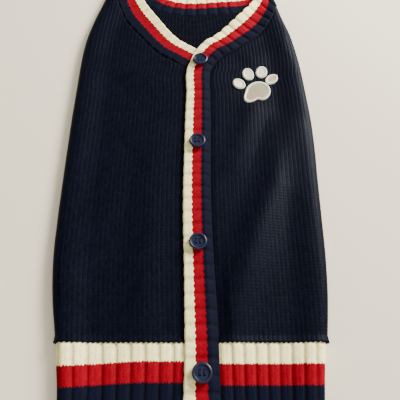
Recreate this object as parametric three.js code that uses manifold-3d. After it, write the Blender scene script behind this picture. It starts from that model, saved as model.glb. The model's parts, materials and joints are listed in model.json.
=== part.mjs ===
// A dog's buttoned vest in navy sweater knit with striped ribbed trims, laid flat with its buttons up.
// Millimetres, +Z up, +Y toward the neck. Drawn from the hem's lower edge at y = 0, then centred.
// Each cloth piece is a wall, closed from rings of points: an outer row of points and an inner row.
import * as THREE from 'three';
import { mergeVertices } from 'three/addons/utils/BufferGeometryUtils.js';
import Module from 'manifold-3d';

const wasm = await Module();
wasm.setup();

// Driving dimensions
const KNIT = 2.8;               // thickness of the stocking-stitch panels
const RIB = 2.6;                // thickness of the ribbed trims under their ribs
const RIB_RISE = 1.2;           // how far a rib stands above its groove
const RIB_PITCH = 12;           // one rib and its groove on the neckband and placket
const HEM_PITCH = { left: 10.8, right: 9.1 };   // the same on the hem, which is stretched more on the left
const SEAM = 0.35;              // space left between two pieces at a seam
const LAYER = 3.0;              // height of the upper layer's inside above the table
const FOLD_HEIGHT = 9.5;        // height of the rolled side folds
const FOLD_ROUND = 7;           // how far in from the outline a side fold rolls over
const FOLD_REACH = 32;          // how far in the upper layer comes back down to its level
const UNDER = 14;               // width of each half that wraps round to the underside
const HEM_TOP = 49.3;           // height of the striped hem
const OVERLAP = 3.1;            // how far the placket is raised by the button band under it
const TUCK = 2.5;               // how far the left half runs in under the placket
const BUTTON = 15;              // diameter of a button
const BUTTON_YS = [26.1, 126.5, 224.7, 323];
const TOTAL_LENGTH = 456.5;      // from the hem's lower edge to the top of the collar

const NAVY = { color: 0x1b2130, roughness: 0.95, metalness: 0 };
const STRIPED = { color: 0xe3dccd, roughness: 0.95, metalness: 0 };
const BUTTON_BLUE = { color: 0x2b3046, roughness: 0.35, metalness: 0 };
const THREAD = { color: 0xd3cec2, roughness: 0.6, metalness: 0 };

// Outline of the body, left and right of the middle, from the hem to the top of the collar
const OUTLINE = [
  { y: 49.65, left: -100.5, right: 104.2 },
  { y: 80, left: -106.9, right: 108.3 },
  { y: 113, left: -111.2, right: 110.8 },
  { y: 149, left: -112.7, right: 111.9 },
  { y: 188, left: -113.3, right: 112.8 },
  { y: 220, left: -113.6, right: 113.8 },
  { y: 254, left: -113.8, right: 113.7 },
  { y: 283, left: -113.5, right: 112.2 },
  { y: 316, left: -113.2, right: 110 },
  { y: 343, left: -112.1, right: 106.9 },
  { y: 364, left: -109.4, right: 103.2 },
  { y: 386, left: -104.6, right: 97.2 },
  { y: 405, left: -99.6, right: 92.7 },
  { y: 418, left: -96.4, right: 88.8 },
  { y: 434, left: -91, right: 79 },
  { y: 457, left: -72, right: 66 },
];
const HEM_OUTLINE = [
  { y: 0, left: -92, right: 95.5 },
  { y: 12, left: -93.2, right: 96.9 },
  { y: 30, left: -96.2, right: 99.4 },
  { y: 49.3, left: -99.3, right: 102.7 },
];

// Placket: its seam to the right half and its free left edge
const PLACKET = [
  { seamX: 23.4, seamY: 0, edgeX: -3.6, edgeY: 0 },
  { seamX: 22.5, seamY: 30, edgeX: -2.7, edgeY: 30 },
  { seamX: 22, seamY: 49.65, edgeX: -2.9, edgeY: 49.65 },
  { seamX: 20.6, seamY: 80, edgeX: -3.8, edgeY: 80 },
  { seamX: 19, seamY: 113, edgeX: -4.7, edgeY: 113 },
  { seamX: 17.8, seamY: 149, edgeX: -5.7, edgeY: 149 },
  { seamX: 17.3, seamY: 188, edgeX: -6.2, edgeY: 188 },
  { seamX: 17.7, seamY: 220, edgeX: -6, edgeY: 220 },
  { seamX: 18.1, seamY: 254, edgeX: -5.4, edgeY: 254 },
  { seamX: 17.9, seamY: 283, edgeX: -4.5, edgeY: 283 },
  { seamX: 19.3, seamY: 316, edgeX: -4, edgeY: 316 },
  { seamX: 25, seamY: 326, edgeX: 2.8, edgeY: 336 },
];

// Neckband: its seam to the body and its free edge. A place past the outline lies on the hidden side,
// as far from the fold as it is past it. over: lift where it crosses the piece below. curl: lift of the
// free edge. rib: how much of the full rib height it keeps, less where it is pressed flat.
const NECK_RIGHT = [
  { seamX: 25, seamY: 326, edgeX: 2.8, edgeY: 336, over: OVERLAP, curl: 0, rib: 1 },
  { seamX: 33, seamY: 334, edgeX: 12, edgeY: 349.5, over: OVERLAP, curl: 0, rib: 1 },
  { seamX: 46, seamY: 343, edgeX: 26, edgeY: 360.5, over: 1.5, curl: 1.5, rib: 1 },
  { seamX: 57, seamY: 353, edgeX: 36, edgeY: 370.5, over: 0, curl: 4, rib: 1 },
  { seamX: 70.7, seamY: 364, edgeX: 46, edgeY: 380.5, over: 0, curl: 6.5, rib: 1 },
  { seamX: 79.5, seamY: 375, edgeX: 55.5, edgeY: 391.5, over: 0, curl: 7.5, rib: 1 },
  { seamX: 85.5, seamY: 386, edgeX: 63.5, edgeY: 403, over: 0, curl: 6, rib: 1 },
  { seamX: 87.4, seamY: 389.5, edgeX: 67.5, edgeY: 410, over: 0, curl: 4.5, rib: 1 },
  { seamX: 92.7, seamY: 405, edgeX: 80.2, edgeY: 432, over: 0, curl: 0, rib: 1 },
  { seamX: 99.7, seamY: 405, edgeX: 87.2, edgeY: 432, over: 0, curl: 0, rib: 0 },
  { seamX: 106.7, seamY: 405, edgeX: 94.8, edgeY: 431, over: 0, curl: 0, rib: 0 },
];
const NECK_LEFT = [
  { seamX: -1.5, seamY: 316, edgeX: 14, edgeY: 334, over: 0, curl: 0, rib: 0 },
  { seamX: -12.6, seamY: 323, edgeX: 6, edgeY: 342.5, over: 0, curl: 0, rib: 0 },
  { seamX: -21.3, seamY: 329, edgeX: -2.9, edgeY: 348.4, over: 0, curl: 0, rib: 1 },
  { seamX: -33.5, seamY: 337, edgeX: -14, edgeY: 356, over: 0, curl: 0.5, rib: 1 },
  { seamX: -39.5, seamY: 343, edgeX: -19.5, edgeY: 361.5, over: 0, curl: 1, rib: 1 },
  { seamX: -47, seamY: 352, edgeX: -25.5, edgeY: 369, over: 0, curl: 1.5, rib: 1 },
  { seamX: -56.2, seamY: 364, edgeX: -33, edgeY: 380, over: 0, curl: 2, rib: 1 },
  { seamX: -64.7, seamY: 375, edgeX: -40, edgeY: 391, over: 0, curl: 2, rib: 1 },
  { seamX: -71.9, seamY: 386, edgeX: -45.5, edgeY: 399.5, over: 0, curl: 2, rib: 1 },
  { seamX: -79.5, seamY: 405, edgeX: -53.5, edgeY: 414, over: 0, curl: 1.5, rib: 1 },
  { seamX: -84.8, seamY: 421, edgeX: -61, edgeY: 434, over: 0, curl: 1, rib: 1 },
  { seamX: -91, seamY: 434, edgeX: -73, edgeY: 455.8, over: 0, curl: 0, rib: 1 },
  { seamX: -98, seamY: 434, edgeX: -79.5, edgeY: 456.5, over: 0, curl: 0, rib: 0 },
  { seamX: -105, seamY: 434, edgeX: -85.8, edgeY: 456.5, over: 0, curl: 0, rib: 0 },
];
// Chest side of the neckband, seen through the V, lying on the table
const NECK_CHEST = [
  { seamX: -76.7, seamY: 434, edgeX: -58.5, edgeY: 456.5 },
  { seamX: -62, seamY: 423.5, edgeX: -45, edgeY: 445 },
  { seamX: -48.7, seamY: 411.5, edgeX: -33, edgeY: 434 },
  { seamX: -32.5, seamY: 400.8, edgeX: -22, edgeY: 426.3 },
  { seamX: -16, seamY: 396, edgeX: -11.5, edgeY: 423 },
  { seamX: -0.6, seamY: 394.6, edgeX: -0.2, edgeY: 422 },
  { seamX: 12, seamY: 395.3, edgeX: 11, edgeY: 422.6 },
  { seamX: 29, seamY: 397, edgeX: 26.5, edgeY: 424.3 },
  { seamX: 48.5, seamY: 398.7, edgeX: 43.5, edgeY: 425.8 },
  { seamX: 65, seamY: 402.3, edgeX: 58, edgeY: 429 },
  { seamX: 78.4, seamY: 405, edgeX: 66.2, edgeY: 431 },
];

// Soft folds in the upper layer: a ridge from one place to another, its half width, and its height at
// each end. The first four are one long ridge.
const FOLDS = [
  { fromX: 89, fromY: 240, fromHigh: 2.2, toX: 75, toY: 182, toHigh: 4.4, wide: 14 },
  { fromX: 75, fromY: 182, fromHigh: 4.4, toX: 56, toY: 138, toHigh: 4.8, wide: 14 },
  { fromX: 56, fromY: 138, fromHigh: 4.8, toX: 36, toY: 78, toHigh: 3.6, wide: 14 },
  { fromX: 36, fromY: 78, fromHigh: 3.6, toX: 33, toY: 52, toHigh: 2.2, wide: 14 },
  { fromX: 62, fromY: 330, fromHigh: 1.4, toX: 92, toY: 342, toHigh: 2.2, wide: 12 },
  { fromX: 58, fromY: 262, fromHigh: 1.8, toX: 40, toY: 205, toHigh: 0.8, wide: 12 },
  { fromX: -78, fromY: 322, fromHigh: 1, toX: -36, toY: 300, toHigh: 0.5, wide: 16 },
  { fromX: -70, fromY: 196, fromHigh: 0.8, toX: -92, toY: 95, toHigh: 1.8, wide: 16 },
  { fromX: -34, fromY: 230, fromHigh: 0.8, toX: -36, toY: 62, toHigh: 1.8, wide: 14 },
];

// Embroidered paw on the right half: middle of each shape, its half sizes and its turn in degrees
const PAW_PAD = { x: 64.6, y: 285.4, round: 11.6, turn: 0 };
const PAW_TOES = [
  { x: 47, y: 295.8, long: 7.1, short: 5.6, turn: 130 },
  { x: 56.6, y: 308, long: 7.6, short: 5.7, turn: 104 },
  { x: 70.2, y: 310.6, long: 7.4, short: 5.8, turn: 78 },
  { x: 79.6, y: 301.4, long: 7.2, short: 5.4, turn: 42 },
];
const PAW_RISE = 1.3;
const PAW_EDGE = 1.3;

const LEG_HOLES = [{ name: 'leg_cuff_left', x: -52, y: 322 }, { name: 'leg_cuff_right', x: 52, y: 322 }];
const HOLE_WIDE = 33;           // half width of the hole cut in the belly panel
const HOLE_LONG = 40;           // half length of it
const CUFF = 10;                // width of the rib that edges it
const HOLE_SIDES = 32;

const { lerp, smoothstep, degToRad, radToDeg } = THREE.MathUtils;

/** Value of one column of a table at a place in another column, straight between its rows. */
function read(table, by, at, want) {
  let row = 0;
  while (row < table.length - 2 && table[row + 1][by] < at) row += 1;
  const [a, b] = [table[row], table[row + 1]];
  return lerp(a[want], b[want], (at - a[by]) / (b[by] - a[by]));
}

/** Height of the soft folds at a place on the upper layer. */
function foldsAt(x, y) {
  let height = 0;
  for (const f of FOLDS) {
    const [ax, ay] = [f.toX - f.fromX, f.toY - f.fromY];
    const along = ((x - f.fromX) * ax + (y - f.fromY) * ay) / (ax * ax + ay * ay);
    const t = THREE.MathUtils.clamp(along, 0, 1);
    const away = Math.hypot(x - f.fromX - t * ax, y - f.fromY - t * ay);
    height = Math.max(height, lerp(f.fromHigh, f.toHigh, t) * Math.exp(-((away / f.wide) ** 2)));
  }
  const middle = (read(PLACKET, 'seamY', y, 'seamX') + read(PLACKET, 'seamY', y, 'edgeX')) / 2;
  return height * smoothstep(Math.abs(x - middle), 13.5, 24);
}

/**
 * A place on the flattened tube of cloth. side is 1 right or -1 left, inward is the distance in from
 * the outline, negative on the hidden side, and depth goes in from the cloth's outer face.
 */
function onTube(side, inward, y, depth, outline = OUTLINE) {
  const fold = read(outline, 'y', y, side > 0 ? 'right' : 'left');
  const far = Math.abs(inward);
  const half = FOLD_HEIGHT / 2;
  if (far < FOLD_ROUND) {
    const angle = (far / FOLD_ROUND) * (Math.PI / 2);
    const x = fold - side * (FOLD_ROUND - (FOLD_ROUND - depth) * Math.cos(angle));
    return new THREE.Vector3(x, y, half + Math.sign(inward) * (half - depth) * Math.sin(angle));
  }
  const x = fold - side * far;
  if (inward < 0) return new THREE.Vector3(x, y, depth);
  const rise = (FOLD_HEIGHT - LAYER - KNIT) * (1 - smoothstep(far, FOLD_ROUND, FOLD_REACH));
  return new THREE.Vector3(x, y, LAYER + KNIT + rise + foldsAt(x, y) - depth);
}

/** Faces between two rows of points of any count, matched by how far along each point is. */
function zip(first, second, faces) {
  let [i, j] = [0, 0];
  while (i < first.length - 1 || j < second.length - 1) {
    const nextI = i < first.length - 1 ? first[i + 1].at : Infinity;
    const nextJ = j < second.length - 1 ? second[j + 1].at : Infinity;
    if (nextI <= nextJ) {
      faces.push([first[i].id, first[i + 1].id, second[j].id]);
      i += 1;
    } else {
      faces.push([first[i].id, second[j + 1].id, second[j].id]);
      j += 1;
    }
  }
}

/** Mesh from points and faces, turned so that its faces point out. */
function solid(name, look, points, faces) {
  let volume = 0;
  for (const [a, b, c] of faces) {
    volume += points[a].dot(new THREE.Vector3().crossVectors(points[b], points[c])) / 6;
  }
  const order = volume > 0 ? faces : faces.map(([a, b, c]) => [a, c, b]);
  const geometry = new THREE.BufferGeometry().setFromPoints(points);
  geometry.setIndex(order.flat());
  geometry.computeVertexNormals();
  const mesh = new THREE.Mesh(geometry, new THREE.MeshStandardMaterial(look));
  mesh.name = name;
  return mesh;
}

/** Row of points with each one's share of the row's length, for matching it to another row. */
function shares(row, start, step) {
  const run = row.map((p, k) => (k ? p.distanceTo(row[k - 1]) : 0));
  const total = run.reduce((sum, d) => sum + d, 0);
  let gone = 0;
  return row.map((p, k) => {
    gone += run[k];
    return { id: start + step * k, at: gone / total };
  });
}

/** Wall of cloth through rings of steady counts. closed joins the last ring to the first. */
function wall(name, look, rings, closed = false) {
  const count = rings[0].outer.length + rings[0].inner.length;
  const points = rings.flatMap((ring) => [...ring.outer, ...[...ring.inner].reverse()]);
  const faces = [];
  for (let r = 0; r < rings.length - (closed ? 0 : 1); r += 1) {
    const next = (r + 1) % rings.length;
    for (let k = 0; k < count; k += 1) {
      const turn = (k + 1) % count;
      faces.push([r * count + k, r * count + turn, next * count + turn]);
      faces.push([r * count + k, next * count + turn, next * count + k]);
    }
  }
  for (const r of closed ? [] : [0, rings.length - 1]) {
    const caps = [];
    const end = r * count + count - 1;
    zip(shares(rings[r].outer, r * count, 1), shares(rings[r].inner, end, -1), caps);
    faces.push(...(r === 0 ? caps.map(([a, b, c]) => [a, c, b]) : caps));
  }
  return solid(name, look, points, faces);
}

/** Distances in from the outline across a half, from its inner edge round its fold to its side seam. */
function acrossHalf(innerEdge, steps) {
  const top = Array.from({ length: steps }, (_, k) => lerp(innerEdge, FOLD_ROUND, k / steps));
  const roll = [1, 0.67, 0.33, 0, -0.33, -0.67, -1].map((part) => part * FOLD_ROUND);
  return [...top, ...roll, -UNDER];
}

const foldX = (side, y, outline = OUTLINE) => read(outline, 'y', y, side > 0 ? 'right' : 'left');

/**
 * One knitted half. seamLine runs up its inner edge from the hem to where the neckline nears the fold,
 * and foldTop is the height at which the neckline goes over the fold.
 */
function half(name, side, seamLine, foldTop) {
  const end = seamLine[seamLine.length - 1];
  const ys = [...OUTLINE, ...seamLine].map((row) => row.y).filter((y) => y < end.y);
  const places = [...new Set(ys)].sort((a, b) => a - b);
  const heights = places.flatMap((y, k) => (k ? [lerp(places[k - 1], y, 0.5), y] : [y]));
  const row = (y, steps, depth) => {
    const innerEdge = Math.abs(foldX(side, y) - read(seamLine, 'y', y, 'x'));
    return acrossHalf(innerEdge, steps).map((inward) => onTube(side, inward, y, depth));
  };
  const lastEdge = Math.abs(foldX(side, end.y) - end.x);
  const lastRow = (steps, depth) => acrossHalf(lastEdge, steps).map((inward) => {
    const y = lerp(foldTop, end.y, Math.max(inward, 0) / lastEdge);
    return onTube(side, inward, y, depth);
  });
  const rings = heights.map((y) => ({ outer: row(y, 10, 0), inner: row(y, 10, KNIT) }));
  rings.push({ outer: lastRow(10, 0), inner: lastRow(10, KNIT) });
  return wall(name, NAVY, rings);
}

/** Height of a 2-and-1 rib at each quarter of its repeat: groove, stitch, fine line, stitch. */
const RIB_STEPS = [0, 1, 0.72, 1];
const ribAt = (step) => RIB_RISE * RIB_STEPS[step % RIB_STEPS.length];

/** One side of the striped hem, its ribs running up and down and pressed flat underneath. */
function hem(name, side, innerX, pressedIn) {
  const rows = [{ y: 0, rib: 0.4 }, { y: 2, rib: 1 }, { y: 25, rib: 1 }, { y: 46.5, rib: 1 },
    { y: HEM_TOP, rib: 0.4 }];
  const reach = (y) => Math.abs(foldX(side, y, HEM_OUTLINE) - innerX(y));
  const pitch = side > 0 ? HEM_PITCH.right : HEM_PITCH.left;
  const steps = Math.round((reach(rows[2].y) + FOLD_ROUND) / (pitch / RIB_STEPS.length));
  const rings = rows.map(({ y, rib }) => {
    const outer = [];
    for (let k = 0; k <= steps; k += 1) {
      const inward = lerp(reach(y), -FOLD_ROUND, k / steps);
      const open = smoothstep(inward, -5, 1) * smoothstep(reach(y) - inward, pressedIn, pressedIn + 3);
      outer.push(onTube(side, inward, y, KNIT - RIB - rib * ribAt(k) * open, HEM_OUTLINE));
    }
    outer.push(onTube(side, -UNDER, y, 0, HEM_OUTLINE));
    const inner = acrossHalf(reach(y), 3).map((inward) => onTube(side, inward, y, KNIT, HEM_OUTLINE));
    return { outer, inner };
  });
  return wall(name, STRIPED, rings);
}

/** Rows of a trim's table at even steps along it, four to a rib, ending on its ends. */
function stations(table) {
  const run = [0];
  for (let k = 1; k < table.length; k += 1) {
    const [a, b] = [table[k - 1], table[k]];
    const seam = Math.hypot(b.seamX - a.seamX, b.seamY - a.seamY);
    const edge = Math.hypot(b.edgeX - a.edgeX, b.edgeY - a.edgeY);
    run.push(run[k - 1] + (seam + edge) / 2);
  }
  const rows = table.map((row, k) => ({ ...row, run: run[k] }));
  const count = Math.round(run[run.length - 1] / RIB_PITCH) * RIB_STEPS.length;
  return Array.from({ length: count + 1 }, (_, k) => {
    const at = (run[run.length - 1] * k) / count;
    const row = { step: k };
    for (const key of Object.keys(table[0])) row[key] = read(rows, 'run', at, key);
    return row;
  });
}

/** Places across a trim, from its seam to its free edge, with the share of the rib height at each. */
const TRIM_OUTER = [[0, 0.3], [0.09, 1], [0.25, 1], [0.6, 1], [0.92, 1], [1, 0.25]];
const TRIM_INNER = [0, 0.09, 0.25, 0.6, 1];

/** Place on a trim a share of the way from its seam to its free edge. */
function across(row, share) {
  const width = Math.hypot(row.edgeX - row.seamX, row.edgeY - row.seamY);
  const part = lerp(SEAM / width, 1, share);
  return { x: lerp(row.seamX, row.edgeX, part), y: lerp(row.seamY, row.edgeY, part) };
}

/** Ribbed trim on the upper layer, lifted over what it crosses, its free edge curling up. */
function trim(name, side, table) {
  const point = (row, share, depth) => {
    const { x, y } = across(row, share);
    const p = onTube(side, side * (foldX(side, y) - x), y, depth);
    p.z += row.over * smoothstep(share, 0, 0.25) + row.curl * share ** 2;
    return p;
  };
  const depth = (row, rise) => KNIT - RIB - rise * row.rib * ribAt(row.step);
  const rings = stations(table).map((row) => ({
    outer: TRIM_OUTER.map(([share, rise]) => point(row, share, depth(row, rise))),
    inner: TRIM_INNER.map((share) => point(row, share, KNIT)),
  }));
  return wall(name, STRIPED, rings);
}

/** Chest side of the neckband, flat underneath, its ribs showing on its inside through the V. */
function chestBand() {
  const flatTo = { from: 40, to: 52 };
  const end = NECK_CHEST[NECK_CHEST.length - 1];
  const onChest = (row, share) => {
    const { x, y } = across(row, share);
    const endY = lerp(end.seamY, end.edgeY, share);
    const bow = foldX(1, endY) - UNDER - SEAM - lerp(end.seamX, end.edgeX, share);
    return { x: x + bow * smoothstep(row.seamX, 60, end.seamX), y };
  };
  const rings = stations(NECK_CHEST).map((row) => ({
    outer: TRIM_OUTER.map(([share, rise]) => {
      const { x, y } = onChest(row, share);
      const shown = 1 - smoothstep(Math.abs(x), flatTo.from, flatTo.to);
      return new THREE.Vector3(x, y, RIB + rise * shown * ribAt(row.step));
    }),
    inner: [0, 0.25, 0.6, 1].map((share) => {
      const { x, y } = onChest(row, share);
      return new THREE.Vector3(x, y, 0);
    }),
  }));
  return wall('neckband_chest', STRIPED, rings);
}

/** Plain band under the placket that the buttonholes close over, ending where the neckband starts. */
function buttonBand() {
  const top = LAYER + KNIT - 0.1;
  const clearOf = (y) => 0.28 * (read(PLACKET, 'seamY', y, 'seamX') - read(PLACKET, 'seamY', y, 'edgeX'));
  const ys = PLACKET.map((row) => row.seamY).filter((y) => y < 316);
  const ends = ys.map((y) => ({
    left: { x: read(PLACKET, 'seamY', y, 'edgeX') + TUCK + SEAM, y },
    right: { x: read(PLACKET, 'seamY', y, 'seamX') - clearOf(y), y },
  }));
  ends.push({ left: { x: -1.1, y: 315.6 }, right: { x: 12.4, y: 331.2 } });
  const rings = ends.map(({ left, right }) => {
    const row = (z) => [0, 0.5, 1].map((t) => {
      return new THREE.Vector3(lerp(left.x, right.x, t), lerp(left.y, right.y, t), z);
    });
    return { outer: row(top), inner: row(LAYER + 0.1) };
  });
  return wall('button_band', NAVY, rings);
}

/** The hidden panel, flat on what it lies on, from the hem to the chest neckline. */
function bellyPanel() {
  const [left, right] = [(y) => foldX(-1, y) + UNDER + SEAM, (y) => foldX(1, y) - UNDER - SEAM];
  const neck = NECK_CHEST.map((row) => ({ x: row.seamX, y: row.seamY }));
  const [first, last] = [neck[0].x, neck[neck.length - 1].x];
  const parts = neck.map((p) => (p.x - first) / (last - first));
  const place = (part, y) => ({ x: lerp(left(y), right(y), part), y });
  const rows = OUTLINE.map((row) => row.y).filter((y) => y <= 386).map((y) => {
    return parts.map((part) => place(part, y));
  });
  const from = 386;
  for (const climb of [1 / 3, 2 / 3]) {
    rows.push(neck.map((p, k) => place(parts[k], lerp(from, p.y, climb))));
  }
  rows.push(neck);
  const rings = rows.map((row) => ({
    outer: row.map((p) => new THREE.Vector3(p.x, p.y, RIB)),
    inner: row.map((p) => new THREE.Vector3(p.x, p.y, 0)),
  }));
  return wall('belly_panel', NAVY, rings);
}

function hemBelly() {
  const rings = HEM_OUTLINE.map(({ y, left, right }) => {
    const row = (z) => [left + UNDER + SEAM, 0, right - UNDER - SEAM].map((x) => new THREE.Vector3(x, y, z));
    return { outer: row(RIB), inner: row(0) };
  });
  return wall('hem_belly', STRIPED, rings);
}

/** Solid for joining and cutting, from a mesh whose shared vertices are merged. */
function asSolid(geometry) {
  const bare = geometry.clone();
  bare.deleteAttribute('normal');
  if (bare.hasAttribute('uv')) bare.deleteAttribute('uv');
  const merged = mergeVertices(bare, 1e-4);
  const vertProperties = new Float32Array(merged.attributes.position.array);
  const triVerts = new Uint32Array(merged.index.array);
  return new wasm.Manifold(new wasm.Mesh({ numProp: 3, vertProperties, triVerts }));
}

function fromSolid(cut) {
  const { vertProperties, triVerts } = cut.getMesh();
  const geometry = new THREE.BufferGeometry();
  geometry.setAttribute('position', new THREE.BufferAttribute(new Float32Array(vertProperties), 3));
  geometry.setIndex(new THREE.BufferAttribute(new Uint32Array(triVerts), 1));
  geometry.computeVertexNormals();
  return geometry;
}

const oval = (x, y, wide, long, angle) => [x + wide * Math.cos(angle), y + long * Math.sin(angle)];
const holeAngles = Array.from({ length: HOLE_SIDES }, (_, k) => (2 * Math.PI * k) / HOLE_SIDES);

/** Cuts the two leg openings through the belly panel. */
function cutLegHoles(panel) {
  let cut = asSolid(panel.geometry);
  for (const { x, y } of LEG_HOLES) {
    const rim = holeAngles.map((angle) => new THREE.Vector2(...oval(x, y, HOLE_WIDE, HOLE_LONG, angle)));
    const through = { depth: 10, bevelEnabled: false, steps: 1 };
    const prism = new THREE.ExtrudeGeometry(new THREE.Shape(rim), through);
    prism.translate(0, 0, -4);
    cut = cut.subtract(asSolid(prism));
  }
  panel.geometry = fromSolid(cut);
  return panel;
}

/** Narrow rib that edges a leg opening, rounded at its free edge. */
function legCuff({ name, x, y }) {
  const soft = 0.8;
  const section = [[SEAM, 0], [CUFF - soft, 0], [CUFF, soft], [CUFF, RIB - soft], [CUFF - soft, RIB],
    [SEAM, RIB]];
  const rings = holeAngles.map((angle) => {
    const points = section.map(([inward, z]) => {
      return new THREE.Vector3(...oval(x, y, HOLE_WIDE - inward, HOLE_LONG - inward, angle), z);
    });
    return { outer: points.slice(0, 3), inner: points.slice(3).reverse() };
  });
  return wall(name, NAVY, rings, true);
}

/** Four-hole button with a raised rim round a dished middle, resting on the placket's ribs. */
function button(name, y) {
  const r = BUTTON / 2;
  const profile = [[0, 0], [r - 2, 0], [r - 0.4, 0.8], [r, 1.8], [r - 0.4, 2.8], [r - 1.1, 3.2],
    [r - 2, 2.9], [r - 2.6, 2.1], [0, 2]];
  const disc = new THREE.LatheGeometry(profile.map(([radius, z]) => new THREE.Vector2(radius, z)), 24);
  disc.rotateX(Math.PI / 2);
  let cut = asSolid(disc);
  const [spread, hole] = [1.65, 1.05];
  for (const [sx, sy] of [[1, 1], [-1, 1], [-1, -1], [1, -1]]) {
    const drill = new THREE.CylinderGeometry(hole, hole, 8, 8).rotateX(Math.PI / 2);
    drill.translate(sx * spread, sy * spread, 1);
    cut = cut.subtract(asSolid(drill));
  }
  const mesh = new THREE.Mesh(fromSolid(cut), new THREE.MeshStandardMaterial(BUTTON_BLUE));
  mesh.name = name;
  const at = Math.min(y, 316);
  const middle = (read(PLACKET, 'seamY', at, 'seamX') + read(PLACKET, 'seamY', at, 'edgeX')) / 2;
  mesh.position.set(middle + (y > at ? 1 : 0), y, LAYER + KNIT + OVERLAP + RIB_RISE + 0.15);
  return mesh;
}

/** Domed patch of embroidery on the right half inside a closed outline given by angle. */
function stitched(name, middle, radiusAt, sides) {
  const turn = degToRad(middle.turn);
  const place = (angle, inset, height) => {
    const [u, v] = radiusAt(angle);
    const keep = Math.hypot(u, v) ? 1 - inset / Math.hypot(u, v) : 1;
    const x = middle.x + keep * (u * Math.cos(turn) - v * Math.sin(turn));
    const y = middle.y + keep * (u * Math.sin(turn) + v * Math.cos(turn));
    return onTube(1, foldX(1, y) - x, y, -height);
  };
  const loops = [[0, SEAM], [0, SEAM + 0.6 * PAW_RISE], [0.4, SEAM + PAW_RISE],
    [PAW_EDGE + 0.4, SEAM + PAW_RISE], [PAW_EDGE + 0.9, SEAM + 0.75 * PAW_RISE]];
  const points = loops.flatMap(([inset, height]) => {
    return Array.from({ length: sides }, (_, k) => place((2 * Math.PI * k) / sides, inset, height));
  });
  const centre = (height) => onTube(1, foldX(1, middle.y) - middle.x, middle.y, -height);
  const [bottom, top] = [points.length, points.length + 1];
  points.push(centre(SEAM), centre(SEAM + 0.75 * PAW_RISE));
  const faces = [];
  for (let k = 0; k < sides; k += 1) {
    const next = (k + 1) % sides;
    faces.push([bottom, next, k]);
    for (let loop = 0; loop < loops.length - 1; loop += 1) {
      const [a, b] = [loop * sides + k, loop * sides + next];
      faces.push([a, b, b + sides], [a, b + sides, a + sides]);
    }
    faces.push([(loops.length - 1) * sides + k, (loops.length - 1) * sides + next, top]);
  }
  return solid(name, THREAD, points, faces);
}

/** Soft bump round a direction given in degrees. */
function lobe(angle, at, wide) {
  const away = ((radToDeg(angle) - at + 540) % 360) - 180;
  return Math.exp(-((away / wide) ** 2));
}

/** Outline of the pad: round, fuller at its upper right, with one long lower lobe and a notch beside it. */
function padOutline(angle) {
  const size = PAW_PAD.round + 2.3 * lobe(angle, 42, 60) + 5.6 * lobe(angle, 226, 30)
    - 3 * lobe(angle, 266, 22);
  return [size * Math.cos(angle), size * Math.sin(angle)];
}

const toeOutline = (toe) => (angle) => [toe.long * Math.cos(angle), toe.short * Math.sin(angle)];

/** Seam lines of the two halves: along the placket, then round the neck as far as the folds. */
const seamOf = (row) => ({ x: row.seamX, y: row.seamY });
const rightSeam = [...PLACKET.slice(2, -1), ...NECK_RIGHT.slice(0, 8)].map(seamOf);
const leftSeam = [
  ...PLACKET.slice(2, -2).map((row) => ({ x: row.edgeX + TUCK, y: row.edgeY })),
  ...NECK_LEFT.slice(0, 11).map(seamOf),
];
const FOLD_TOP = { left: NECK_LEFT[11].seamY - 2 * SEAM, right: NECK_RIGHT[8].seamY - 2 * SEAM };

const vest = new THREE.Group();
vest.position.set(0, -TOTAL_LENGTH / 2, 0);
const placket = PLACKET.map((row) => ({ ...row, over: OVERLAP, curl: 0, rib: 1 }));
vest.add(
  half('back_left', -1, leftSeam, FOLD_TOP.left),
  half('back_right', 1, rightSeam, FOLD_TOP.right),
  cutLegHoles(bellyPanel()),
  hem('hem_left', -1, (y) => read(PLACKET, 'seamY', y, 'edgeX') + TUCK, TUCK + 1),
  hem('hem_right', 1, (y) => read(PLACKET, 'seamY', y, 'seamX'), 0),
  hemBelly(),
  trim('placket_band', 1, placket),
  buttonBand(),
  trim('neckband_left', -1, NECK_LEFT),
  trim('neckband_right', 1, NECK_RIGHT),
  chestBand(),
  ...LEG_HOLES.map(legCuff),
  ...BUTTON_YS.map((y, k) => button(`button_${k + 1}`, y)),
  stitched('paw_pad', PAW_PAD, padOutline, 28),
  ...PAW_TOES.map((toe, k) => stitched(`paw_toe_${k + 1}`, toe, toeOutline(toe), 16)),
);

export default vest;
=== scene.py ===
# %% [markdown]
# # A dog's striped sweater vest, laid flat
# The real thing is knitted cloth: navy stocking stitch for the panels, and ribbed trims striped in
# cream, red and navy round the hem, the front and the neck. It lies flat with its four buttons up.
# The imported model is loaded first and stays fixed. Every piece below is built round it at real size.

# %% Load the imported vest
import json
import math

import bmesh
import bpy
import numpy as np
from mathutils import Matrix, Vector
from mathutils.bvhtree import BVHTree

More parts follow.
